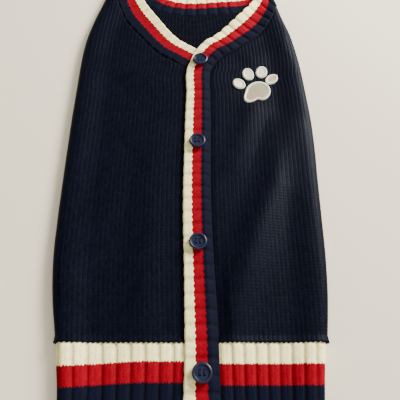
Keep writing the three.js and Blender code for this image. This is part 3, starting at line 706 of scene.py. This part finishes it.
# %% [markdown]
# ## The hem
# A ribbed hem is knitted on at the bottom of each panel: two plain columns, then one sunk purl
# column, again and again. The stripes are rows of another colour. They sag a little at the outer
# corners, where the hem turns under.

# %% Hem of a half
PER_RIB = 17                # grid columns to a rib of the hem
HEM_ROWS = 64


def hem_stripe(x, y, wale):
    """Share of the way up the stripes, with the notches that the stitches give their edges."""
    sag = 0.8 - 1.7 * smoothstep(-x, -20, 10) + 3.4 * smoothstep(-x, 30, 98)
    notch = 0.25 * np.sin(4 * math.pi * wale) + 0.12 * np.sin(2.3 * wale) * np.sin(7.1 * wale)
    return (y + sag - COURSE * notch - 0.6) / 49.8


def hem_half(name, side, inner_x, tuck):
    """Ribbed hem from the placket round a side fold."""
    def reach(y):
        return side * (fold_x(side, y, HEM_OUTLINE) - inner_x(y))

    longest = reach(np.array([HEM_TOP]))[0] - FOLD_ROUND + 2 * ROLL + UNDER - FOLD_ROUND
    ribs = round(longest / HEM_PITCH[side])
    cloth, column, row = new_grid(ribs * PER_RIB, HEM_ROWS)
    y = HEM_TOP * row / HEM_ROWS
    length = reach(y) - FOLD_ROUND + ROLL
    repeat = column / PER_RIB
    path = length - repeat / ribs * (length + ROLL + UNDER - FOLD_ROUND)
    inward = inward_of(path)
    rise, wale, lean = rib(repeat, y / COURSE)
    fade = smoothstep(y, -0.5, 1.5) * smoothstep(HEM_TOP - y, 0, 4.5)
    hidden = 1 - smoothstep(reach(y) - inward, tuck - 1, tuck + 1)
    under = smoothstep(-inward, 0, FOLD_ROUND)
    depth = KNIT - RIB - rise * fade * (1 - hidden) + under * (RIB_RISE - KNIT + RIB) + 0.7 * hidden
    places = on_tube(side, inward, y, depth, HEM_OUTLINE)
    relief = rise / RIB_RISE
    lay(cloth, places, wale, y / COURSE, relief, hem_stripe(places[:, 0], y, wale))
    facing(cloth)
    turn_edges(cloth, 2.4)
    return finish_piece(name, cloth, striped_rib)


pieces["hem_right"] = hem_half("hem_right_rib", 1, placket_seam, 0)
pieces["hem_left"] = hem_half("hem_left_rib", -1, left_tuck, TUCK)

# %% [markdown]
# The hem's underside is a third length of the same rib. It lies flat on the table with its ribs
# down, so it needs no fold: its grid is simply spread between the ends of the other two.

# %% Hem under the belly
BELLY_RIBS = 17
cloth, column, row = new_grid(BELLY_RIBS * PER_RIB, HEM_ROWS)
y = HEM_TOP * row / HEM_ROWS
left_end, right_end = fold_x(-1, y, HEM_OUTLINE) + UNDER, fold_x(1, y, HEM_OUTLINE) - UNDER
x = left_end + (right_end - left_end) * column / (BELLY_RIBS * PER_RIB)
rise, wale, lean = rib(column / PER_RIB, y / COURSE)
relief = rise / RIB_RISE
lay(cloth, np.stack([x, y, RIB_RISE - rise], axis=-1), wale, y / COURSE, relief, hem_stripe(x, y, wale))
facing(cloth, -1)
turn_edges(cloth, 2.2)
pieces["hem_belly"] = finish_piece("hem_belly_rib", cloth, striped_rib)

# %% [markdown]
# ## Placket and neckband
# These trims are knitted sideways onto the edge they finish, so their ribs run across the band and
# the stripes run along it. The placket rides over the button band, and the neckband's free edge
# curls up. A trim is one strip swept along its seam: over the front, round the free edge and a
# little way back underneath, which gives the edge its real roundness.

# %% Steps along a trim
def along(table, rows_per_rib):
    """A trim's table read at even steps along it, with the number of its ribs."""
    seam_step = np.hypot(np.diff(table["seam_x"]), np.diff(table["seam_y"]))
    edge_step = np.hypot(np.diff(table["edge_x"]), np.diff(table["edge_y"]))
    run = np.concatenate([[0], np.cumsum(0.5 * seam_step + 0.5 * edge_step)])
    rows = {"run": run, **table}
    ribs = round(run[-1] / RIB_PITCH)
    at = np.linspace(0, run[-1], ribs * rows_per_rib + 1)
    return {key: read(rows, "run", at, key) for key in table}, ribs


print("ribs along the placket:", along(PLACKET, 1)[1])

# %% A ribbed trim
RIM = 1.35                  # radius of a trim's rounded free edge
BACK = 7.0                  # how far the strip runs back behind the free edge
TRIM_TUCK = 1.2             # how far a trim's first stitches sink into the panel's edge
RIB_ROWS = 18               # grid rows to a rib
FRONT_STEPS, ROUND_STEPS, BACK_STEPS = 36, 8, 3


def trim(side, table, navy_to, red_to):
    """Ribbed strip from its seam to its free edge and back under it."""
    row, ribs = along(table, RIB_ROWS)
    cloth, column, step = new_grid(FRONT_STEPS + ROUND_STEPS + BACK_STEPS, ribs * RIB_ROWS)
    here = {key: value[step.astype(int)] for key, value in row.items()}
    wide = np.hypot(here["edge_x"] - here["seam_x"], here["edge_y"] - here["seam_y"])
    turn = math.pi * np.clip((column - FRONT_STEPS) / ROUND_STEPS, 0, 1)
    back = BACK * np.clip((column - FRONT_STEPS - ROUND_STEPS) / BACK_STEPS, 0, 1)
    q = (wide - RIM + TRIM_TUCK) * np.clip(column / FRONT_STEPS, 0, 1) - TRIM_TUCK
    swell = RIB_RISE * 0.25 * np.sin(0.6 * step / RIB_ROWS) * np.sin(turn / 2)
    rise, wale, lean = rib(step / RIB_ROWS, q / COURSE)
    rise = rise * here["rib"] * (1 - here["soft"] * smoothstep(q / wide, 0.25, 0.4))
    rise = rise * smoothstep(q, -0.4, 1.0) * (0.7 + 0.3 * np.cos(turn))
    seam_dip = 0.9 * (1 - smoothstep(q, -1.2, 0.6))
    q = q + RIM * np.sin(turn) - back + (rise + swell) * np.sin(turn)
    depth = KNIT - RIB + RIM * (1 - np.cos(turn)) - rise * np.cos(turn) + seam_dip
    share = q / wide
    x = here["seam_x"] + (here["edge_x"] - here["seam_x"]) * share
    y = here["seam_y"] + (here["edge_y"] - here["seam_y"]) * share
    places = on_tube(side, side * (fold_x(side, y) - x), y, depth)
    lift = here["over"] * smoothstep(share, 0, 0.25) + here["curl"] * np.clip(share, 0, 2) ** 2
    places[:, 2] += lift
    relief = np.clip(rise / RIB_RISE, 0, 1)
    relief = np.where(turn > 0.2, np.maximum(relief, 0.5), relief)
    place = (q + np.where(turn > 1.5, 3.0, 0.0)) / wide - COURSE * 0.45 * (lean - 0.5) / wide
    stripe = np.interp(place, [-1, 0, navy_to, red_to, 1, 2], [-1, 0, NAVY_ENDS, RED_ENDS, 1, 2])
    lay(cloth, places, wale, q / COURSE, relief, stripe)
    facing(cloth)
    turn_edges(cloth, 1.6)
    return cloth


print("grid columns across a trim:", FRONT_STEPS + ROUND_STEPS + BACK_STEPS)

# %% [markdown]
# The placket and the two sides of the V are the same strip along three different lines. Pulled tight
# by the buttons, the placket's ribs fade towards its free edge, which the soft column says. Each has
# its own widths of navy and red, because a neckband is stretched more than a placket.

# %% Placket and V neck
ones = np.ones(len(PLACKET["seam_y"]))
placket_table = {**PLACKET, "over": OVERLAP * ones, "curl": 0 * ones, "rib": ones, "soft": 0.45 * ones}
NECK_RIGHT["soft"] = 0.5 * (1 - smoothstep(NECK_RIGHT["seam_x"], 25, 46))
NECK_LEFT["soft"] = 0.55 + 0 * NECK_LEFT["seam_x"]
placket = trim(1, placket_table, navy_to=0.335, red_to=0.685)
pieces["placket_band"] = finish_piece("placket_rib", placket, striped_rib)
right_neck = trim(1, NECK_RIGHT, navy_to=0.345, red_to=0.69)
pieces["neckband_right"] = finish_piece("neckband_right_rib", right_neck, striped_rib)
left_neck = trim(-1, NECK_LEFT, navy_to=0.345, red_to=0.68)
pieces["neckband_left"] = finish_piece("neckband_left_rib", left_neck, striped_rib)

# %% [markdown]
# ## Chest side of the neckband
# Through the V the far side of the neckband shows from its inside. It is a flat band on the table,
# seen from both faces, so its strip runs all the way round: over the top, round the free edge, back
# underneath and onto its own first column. At its right end it bows out to meet the side fold.

# %% Chest band
CHEST_TUCK = 1.0            # the band's first stitches run down into the belly panel's edge
CHEST_ROWS = 16             # grid rows to a rib
CHEST_FRONT, CHEST_TURN, CHEST_BACK = 36, 6, 6      # grid columns on each stretch of the strip
row, ribs = along(NECK_CHEST, CHEST_ROWS)
closing = CHEST_FRONT + CHEST_TURN + CHEST_BACK + 1
cloth, column, step = new_grid(closing, ribs * CHEST_ROWS)
column = np.where(column == closing, 0, column)
here = {key: value[step.astype(int)] for key, value in row.items()}
wide = np.hypot(here["edge_x"] - here["seam_x"], here["edge_y"] - here["seam_y"])
turn = math.pi * np.clip((column - CHEST_FRONT) / CHEST_TURN, 0, 1)
back = np.clip((column - CHEST_FRONT - CHEST_TURN) / CHEST_BACK, 0, 1)
q = (wide - RIM + CHEST_TUCK) * np.clip(column / CHEST_FRONT, 0, 1) - CHEST_TUCK - (wide - RIM) * back
rise, wale, lean = rib(step / CHEST_ROWS, q / COURSE)
rise = rise * (0.675 + 0.325 * np.cos(turn))
q = q + (RIM + rise) * np.sin(turn)
share = q / wide

# %% Shape of the chest band
end_y = NECK_CHEST["seam_y"][-1] + (NECK_CHEST["edge_y"][-1] - NECK_CHEST["seam_y"][-1]) * share
end_x = NECK_CHEST["seam_x"][-1] + (NECK_CHEST["edge_x"][-1] - NECK_CHEST["seam_x"][-1]) * share
bow = fold_x(1, end_y) - UNDER - SEAM - end_x
x = here["seam_x"] + (here["edge_x"] - here["seam_x"]) * share
x = x + bow * smoothstep(here["seam_x"], 60, NECK_CHEST["seam_x"][-1])
y = here["seam_y"] + (here["edge_y"] - here["seam_y"]) * share
flat_to_table = 1 - smoothstep(np.abs(x), 40, 52)
seam_dip = 0.9 * (1 - smoothstep(q, -1.0, 0.6)) * (column < CHEST_FRONT)
shown = np.where(turn > 1.6, 0, flat_to_table)
z = RIB - seam_dip - RIM * (1 - np.cos(turn)) + rise * np.cos(turn) * shown
stripe = share - COURSE * 0.5 * (lean - 0.5) / wide
relief = np.clip(rise / RIB_RISE, 0, 1)
lay(cloth, np.stack([x, y, np.maximum(z, 0)], axis=-1), wale, q / COURSE, relief, stripe)
bmesh.ops.remove_doubles(cloth, verts=cloth.verts, dist=0.01 * MM)
bmesh.ops.holes_fill(cloth, edges=[e for e in cloth.edges if e.is_boundary], sides=0)
top_side = [f for f in cloth.faces if all(v.co.z > 1.5 * MM for v in f.verts)]
cloth.normal_update()
if sum(f.normal.z * f.calc_area() for f in top_side) < 0:
    bmesh.ops.reverse_faces(cloth, faces=cloth.faces)
pieces["neckband_chest"] = finish_piece("neckband_chest_rib", cloth, striped_rib)

# %% [markdown]
# ## Button band
# Under the placket lies a plain navy band that carries the buttons on the real vest. Only its edge
# can be seen, so its stitches are drawn coarser.

# %% Button band
BAND_TOP = 315.6            # height of its left corner, in the bottom of the V
BAND_SLANT = 15.6           # how much higher its right corner is
BAND_LEFT_END, BAND_RIGHT_END = -1.1, 12.4
BAND_SHARE = 0.72           # share of the placket's width that it lies under
BAND_COLUMNS, BAND_ROWS = 10, 400
cloth, column, step = new_grid(BAND_COLUMNS, BAND_ROWS)
seam_x, edge_x = PLACKET["seam_x"][:-2], PLACKET["edge_x"][:-2]
band = {
    "y": np.append(PLACKET["seam_y"][:-2], BAND_TOP),
    "left": np.append(edge_x + TUCK + SEAM, BAND_LEFT_END),
    "right": np.append(edge_x + BAND_SHARE * (seam_x - edge_x), BAND_RIGHT_END),
}
run = BAND_TOP * step / BAND_ROWS
share = column / BAND_COLUMNS
left_at, right_at = read(band, "y", run, "left"), read(band, "y", run, "right")
x = left_at + (right_at - left_at) * share
y = run + BAND_SLANT * share * smoothstep(run, 283, BAND_TOP)
relief = stocking(x / WALE, y / COURSE)
z = LAYER + KNIT - 0.35 + 0.3 * relief
lay(cloth, np.stack([x, y, z], axis=-1), x / WALE, y / COURSE, relief, 0.0)
facing(cloth)
turn_edges(cloth, 2.3)
pieces["button_band"] = finish_piece("button_band_knit", cloth, navy_knit)

# %% [markdown]
# ## Belly panel
# The hidden side of the tube is one flat panel with two oval openings for the front legs. Through
# the V its inside shows, where stocking stitch is a ridged purl surface. The panel is a grid whose
# rows are spread between the hem and the slanting line of the chest. The openings are cut from it,
# its cut points are drawn onto the ovals, and solidify then gives it its thickness.

# %% Rows of the belly panel
BELLY_WALES = 46
BELLY_ROWS = 168
BELLY_THICK = 2.1
cloth, column, row = new_grid(BELLY_WALES * 4, BELLY_ROWS)
across, up = column / (BELLY_WALES * 4), row / BELLY_ROWS
low_edge = HEM_TOP + SEAM
y = low_edge + (345 - low_edge) * up        # a first guess, which the loop settles
for _ in range(3):
    left_end, right_end = fold_x(-1, y) + UNDER + SEAM, fold_x(1, y) - UNDER - SEAM
    x = left_end + (right_end - left_end) * across
    y = low_edge + (read(NECK_CHEST, "seam_x", x, "seam_y") - low_edge) * up
wale, course = BELLY_WALES * across, (y - low_edge) / COURSE
ridges = 0.5 + 0.5 * np.cos(2 * math.pi * wale)
relief = ridges * (0.75 + 0.25 * np.cos(2 * math.pi * course))
z = 1.3 + 0.35 * (relief - 0.5)
print("belly panel, mm long on its left side:", round(float(y.max() - low_edge)))

# %% Leg openings, cut from the belly panel
LEG_HOLES = ((-52, 322), (52, 322))
HOLE_WIDE, HOLE_LONG = 33.0, 40.0           # half the width and length of an opening
past = np.full(x.shape, -1.0)
for hole_x, hole_y in LEG_HOLES:
    u, v = (x - hole_x) / HOLE_WIDE, (y - hole_y) / HOLE_LONG
    far = np.maximum(np.hypot(u, v), 0.01)
    inside = far < 1
    past = np.where(inside, 1 - far, past)
    x = np.where(inside, hole_x + u / far * HOLE_WIDE, x)
    y = np.where(inside, hole_y + v / far * HOLE_LONG, y)
lay(cloth, np.stack([x, y, z], axis=-1), wale, course, relief, 0.0)
cut_away(cloth, past)
facing(cloth)
bmesh.ops.solidify(cloth, geom=list(cloth.faces), thickness=BELLY_THICK * MM)
low = min(v.co.z for v in cloth.verts)
bmesh.ops.translate(cloth, vec=(0, 0, -low), verts=cloth.verts)
pieces["belly_panel"] = finish_piece("belly_panel_knit", cloth, navy_purl_painted_shade)

# %% [markdown]
# ## Leg cuffs
# A narrow rib stops each opening from stretching. Seen from below it is a flat ring with radial
# ribs. One closed grid is wrapped round the ring's section, and its upper and lower faces sink a
# little between the ribs.

# %% Leg cuffs
CUFF = 10.0                 # width of a cuff
CUFF_RIBS, CUFF_ROWS, CUFF_STEPS = 42, 8, 14
for name, (hole_x, hole_y) in zip(("leg_cuff_left", "leg_cuff_right"), LEG_HOLES):
    cloth, column, row = new_grid(CUFF_STEPS + 1, CUFF_RIBS * CUFF_ROWS)
    column = np.where(column > CUFF_STEPS, 0, column)
    angle = 2 * math.pi * row / (CUFF_RIBS * CUFF_ROWS)
    ridge = np.sin(math.pi * (row / CUFF_ROWS % 1)) ** 0.6
    around = math.pi * column / CUFF_STEPS
    inward = SEAM + (CUFF - SEAM) * np.sin(around) ** 0.45
    sunk = 0.5 * (1 - ridge) * np.sin(around * 2) ** 2
    z = RIB / 2 - (RIB / 2) * np.cos(around) + sunk * np.sign(math.pi / 2 - around)
    x = hole_x + (HOLE_WIDE - inward) * np.cos(angle)
    y = hole_y + (HOLE_LONG - inward) * np.sin(angle)
    lay(cloth, np.stack([x, y, z], axis=-1), row / CUFF_ROWS, column / 3, ridge, 0.0)
    bmesh.ops.remove_doubles(cloth, verts=cloth.verts, dist=0.01 * MM)
    bmesh.ops.recalc_face_normals(cloth, faces=cloth.faces)
    pieces[name] = finish_piece(name + "_rib", cloth, navy_knit)

# %% [markdown]
# ## Buttons
# The buttons are moulded plastic with four holes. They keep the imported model's shape, which is
# rimmed and dished like the real ones. A faint marbling of two blues and an uneven polish are what
# such plastic shows, so only a material is added here.

# %% Button plastic
button_plastic, tree, shader = new_material("blue plastic")
place = tree.nodes.new("ShaderNodeTexCoord").outputs["Object"]
marble = noise(tree, 240, 3, place)
colour = mix_colour(tree, marble, (0.0042, 0.0058, 0.019, 1), (0.012, 0.016, 0.044, 1))
tree.links.new(colour, shader.inputs["Base Color"])
tree.links.new(math_node(tree, "MULTIPLY_ADD", marble, 0.14, 0.32), shader.inputs["Roughness"])
shader.inputs["Specular IOR Level"].default_value = 0.2

button_middles = []
for number in (1, 2, 3, 4):
    node = bpy.data.objects[f"button_{number}"]
    node.data.materials.clear()
    node.data.materials.append(button_plastic)
    low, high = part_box(f"button_{number}")
    middle_x, middle_y = (low[0] + high[0]) / 2 / MM, (low[1] + high[1]) / 2 / MM + MIDDLE_Y
    button_middles.append((middle_x, middle_y, low[2] / MM))
print("button middles, mm:", [[round(v, 1) for v in middle] for middle in button_middles])

# %% [markdown]
# ## Sewing thread
# Each button is held by doubled thread that comes out of one hole and goes down the next, twice.
# A strand is a grid rolled into a tube along a squared-off arch. Its ends go down inside the holes,
# where they are closed.

# %% Thread through the buttons
dark_thread, tree, shader = new_material("dark thread")
yarn = use(tree, YARN, Colour=(0.008, 0.010, 0.026, 1), Hollow_shade=0.6, Fibre_height=0.5,
           Unevenness=0.4, Stitch_variation=0.0, Roughness=0.7)
dress(tree, shader, yarn, 0.05)
shader.inputs["Specular IOR Level"].default_value = 0.1

HOLE_SPREAD = 1.65          # from a button's middle to the middle of a hole, each way
DISH = 2.05                 # height of the dished middle that the thread crosses
STRAND = 0.36               # radius of a strand
STRANDS_APART = 0.36        # from the middle of a pair to each of its strands
AROUND, ALONG = 10, 32      # grid columns round a strand and rows along it


def thread_bars(name, x, y, z):
    """Two bars of doubled thread, each out of one hole and down the next."""
    bars = bmesh.new()
    for bar_x in (x - HOLE_SPREAD, x + HOLE_SPREAD):
        for strand in (-STRANDS_APART, STRANDS_APART):
            tube, column, row = new_grid(AROUND, ALONG)
            arch, round_it = math.pi * row / ALONG, 2 * math.pi * column / AROUND
            c, s = np.cos(arch), np.sin(arch)
            path_y = HOLE_SPREAD * np.sign(c) * np.abs(c) ** 0.35
            path_z = (DISH + 0.2) * np.abs(s) ** 0.35
            out_y, out_z = np.sign(c) * np.abs(c) ** 1.65, np.abs(s) ** 1.65
            out = np.hypot(out_y, out_z)
            twist = 0.1 * np.cos(3 * round_it + 9 * arch)
            thick = STRAND * (1 + twist + 0.8 * (1 - np.abs(s)) ** 3)
            away = thick * np.cos(round_it) / out
            points = np.stack([bar_x + strand + thick * np.sin(round_it), y + path_y + away * out_y,
                               z + path_z + away * out_z], axis=-1)
            lay(tube, points, column, row, np.full(len(row), 0.8), 0.0)
            bmesh.ops.remove_doubles(tube, verts=tube.verts, dist=0.01 * MM)
            bmesh.ops.holes_fill(tube, edges=[e for e in tube.edges if e.is_boundary], sides=0)
            bmesh.ops.recalc_face_normals(tube, faces=tube.faces)
            strand_mesh = bpy.data.meshes.new("strand")
            tube.to_mesh(strand_mesh)
            tube.free()
            bars.from_mesh(strand_mesh)
            bpy.data.meshes.remove(strand_mesh)
    return finish_piece(name, bars, dark_thread)


sewing = []
for number, (x, y, z) in enumerate(button_middles, start=1):
    sewing.append(thread_bars(f"button_{number}_thread", x, y, z))

# %% [markdown]
# ## Embroidery thread
# The paw print is machine embroidery: parallel threads fill each shape, and a dense satin stitch
# runs round it as a raised rim. The fill's threads are finer than its grid, so they are a wave in
# the bump, on Object coordinates. The rim's threads are real ridges of the next step's grid.

# %% Embroidery thread
PAW_FILL = (0.32, 0.285, 0.18, 1)
PAW_SATIN = (0.88, 0.86, 0.68, 1)
FILL_THREAD = 0.8           # space from one thread of the fill to the next
FILL_SLANT = 0.35           # how far the fill's threads lean
paw_thread, tree, shader = new_material("silver thread")
satin = tree.nodes.new("ShaderNodeAttribute")
satin.attribute_name = "stripe"
colour = mix_colour(tree, satin.outputs["Fac"], PAW_FILL, PAW_SATIN)
place = tree.nodes.new("ShaderNodeSeparateXYZ")
tree.links.new(tree.nodes.new("ShaderNodeTexCoord").outputs["Object"], place.inputs[0])
slanted = math_node(tree, "MULTIPLY_ADD", place.outputs["X"], FILL_SLANT, place.outputs["Y"])
threads = math_node(tree, "MULTIPLY", slanted, 2 * math.pi / (FILL_THREAD * MM))
threads = math_node(tree, "SINE", threads)
plain_fill = math_node(tree, "SUBTRACT", 1.0, satin.outputs["Fac"])
threads = math_node(tree, "MULTIPLY", threads, plain_fill)
yarn = use(tree, YARN, Colour=colour, Hollow_shade=0.5, Fibre_height=0.4, Unevenness=0.16,
           Stitch_variation=0.0, Roughness=0.45)
dress(tree, shader, yarn, 0.05, threads)
shader.inputs["Sheen Weight"].default_value = 0.2
shader.inputs["Specular IOR Level"].default_value = 0.6
print("materials:", button_plastic.name, dark_thread.name, paw_thread.name)

# %% [markdown]
# ## Patches of embroidery
# A patch is a round grid: its first ring is the outline and its last ring is the middle. The first
# ring is set down on the knit with a ray to the right half's surface, so the patch sits on the
# stitches from every side and never comes through to the inside.

# %% A patch of embroidery
SATIN_THREAD = 0.5          # space from one thread of the rim to the next
PAW_RISE, SATIN = 1.5, 2.6  # height and width of the satin rim
RINGS = 16
RIM_SHARE = 0.55            # share of the rings that the rim takes
bpy.context.view_layer.update()
right_half = BVHTree.FromObject(pieces["back_right"], bpy.context.evaluated_depsgraph_get())


def embroidered(name, x, y, outline, turn, around, length, satin_fill):
    """Patch of embroidery with a satin rim, from its outline by angle."""
    cloth, column, row = new_grid(around, RINGS)
    angle = 2 * math.pi * column / around
    out_x, out_y = outline(angle)
    size = np.hypot(out_x, out_y)
    t = row / RINGS
    past_rim = (t - RIM_SHARE) / (1 - RIM_SHARE)
    inset = np.where(t < RIM_SHARE, SATIN * t / RIM_SHARE, SATIN + (size - SATIN) * past_rim)
    keep = np.clip(1 - inset / size, 0, 1)
    u, v = keep * out_x, keep * out_y
    c, s = math.cos(math.radians(turn)), math.sin(math.radians(turn))
    px, py = x + u * c - v * s, y + u * s + v * c
    rim = np.sin(math.pi * np.clip(inset / SATIN, 0, 1)) ** 0.6
    thread = 0.5 + 0.5 * np.cos(angle * round(length / SATIN_THREAD))
    on_rim = inset < SATIN
    height = np.where(on_rim, PAW_RISE * rim * (0.86 + 0.14 * thread), 0)
    height = np.maximum(height, np.where(inset > 0.9 * SATIN, 1.0 - 0.3 * keep, 0)) + 0.1
    relief = np.where(on_rim, 0.35 + 0.65 * thread * rim, 0.6)
    white = np.where(on_rim, 1.0, satin_fill)
    lay(cloth, on_tube(1, fold_x(1, py) - px, py, -height), column, row, relief, white)
    for v in [v for v, number in zip(cloth.verts, row) if number == 0]:
        knit_below = right_half.ray_cast(v.co + Vector((0, 0, 5 * MM)), Vector((0, 0, -1)))[0]
        v.co.z = knit_below.z + 0.04 * MM
    bmesh.ops.remove_doubles(cloth, verts=cloth.verts, dist=0.01 * MM)
    facing(cloth)
    return finish_piece(name, cloth, paw_thread)


print("knit under the paw, faces:", len(pieces["back_right"].data.polygons))

# %% [markdown]
# ## Paw print
# The toes are plain ovals, each turned its own way. The pad is a circle with a fuller shoulder, one
# long corner and a small bay next to it, which three soft bumps on its radius give.

# %% Paw
PAD_X, PAD_Y, PAD_ROUND = 64.6, 285.4, 11.6
SHOULDER, CORNER, BAY = (2.3, 42, 60), (5.6, 226, 30), (-3.0, 266, 22)  # height, direction, width
TOES = columns("x y long short turn white", [
    (47.0, 295.8, 7.1, 5.6, 130, 1.0), (56.6, 308.0, 7.6, 5.7, 104, 0.65),
    (70.2, 310.6, 7.4, 5.8, 78, 0.6), (79.6, 301.4, 7.2, 5.4, 42, 0.15)])


def soft_bump(angle, high, at, wide):
    """Soft bump of the radius round a direction, which is in degrees."""
    away = (np.degrees(angle) - at + 180) % 360 - 180
    return high * np.exp(-((away / wide) ** 2))


def pad_outline(angle):
    size = PAD_ROUND + sum(soft_bump(angle, *part) for part in (SHOULDER, CORNER, BAY))
    return size * np.cos(angle), size * np.sin(angle)


pieces["paw_pad"] = embroidered("paw_pad_stitched", PAD_X, PAD_Y, pad_outline, 0, 700, 86, 0.0)
for number, (x, y, long, short, turn, white) in enumerate(zip(*TOES.values()), start=1):
    def toe_outline(angle):
        return long * np.cos(angle), short * np.sin(angle)

    name = f"paw_toe_{number}"
    pieces[name] = embroidered(name + "_stitched", x, y, toe_outline, turn, 330, 40, white)

# %% [markdown]
# ## Floor and camera
# The vest lies on a plain pale table. The camera stands over its hem and looks up along it, which
# is why the far neck looks narrower than it is. Its height and tilt were worked out from how the
# buttons shrink towards the neck.

# %% Floor and camera
bpy.ops.mesh.primitive_plane_add(size=16, location=(0, 0, -0.0004))
floor = bpy.context.object
floor.name = "floor"
pale, tree, shader = new_material("pale_floor")
shader.inputs["Base Color"].default_value = (0.765, 0.705, 0.565, 1)
shader.inputs["Roughness"].default_value = 0.9
floor.data.materials.append(pale)

camera = bpy.data.objects.new("camera", bpy.data.cameras.new("camera"))
camera.data.lens, camera.data.sensor_width = 40.5, 36
camera.location = (0.0083, -0.23525, 0.3545)
camera.rotation_euler = (math.radians(26.51), 0, 0)
bpy.context.collection.objects.link(camera)
bpy.context.scene.camera = camera
print("camera height, mm:", round(camera.location.z / MM))

# %% [markdown]
# ## Light
# Broad light from the upper right picks out the creases on that side. A lamp near the table gives
# the gentle fall of light across it, a wide sun stands for a window, and a soft one fills the
# shadows from the camera's side. The sky is a plain warm white.

# %% Light
def light(name, kind, place, energy, size):
    """A lamp that points at the vest. Its size is degrees for a sun and metres otherwise."""
    data = bpy.data.lights.new(name, kind)
    data.energy, data.color = energy, (1.0, 0.955, 0.87)
    if kind == "SUN":
        data.angle = math.radians(size)
    else:
        data.shadow_soft_size = size
    lamp = bpy.data.objects.new(name, data)
    lamp.location = place
    lamp.rotation_euler = (-Vector(place)).to_track_quat("-Z", "Y").to_euler()
    bpy.context.collection.objects.link(lamp)
    return lamp


light("key", "POINT", (0.72, 0.6, 0.51), 98, 0.19)
light("window", "SUN", (0.85, 0.7, 0.6), 4.7, 20)
light("fill", "SUN", (0.3, -0.6, 0.8), 1.9, 60)
world = bpy.data.worlds.new("pale")
world.use_nodes = True
world.node_tree.nodes["Background"].inputs[0].default_value = (1.0, 0.965, 0.90, 1)
world.node_tree.nodes["Background"].inputs[1].default_value = 0.42
bpy.context.scene.world = world
print("lights:", [lamp.name for lamp in bpy.data.lights])

# %% [markdown]
# ## Tying the pieces to the imported vest
# Each piece takes the place of the imported wall it was built round and moves with the same body.

# %% Attach the pieces
for node, piece in pieces.items():
    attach(piece, "root")
    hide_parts(node)

for piece in sewing:
    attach(piece, "root")
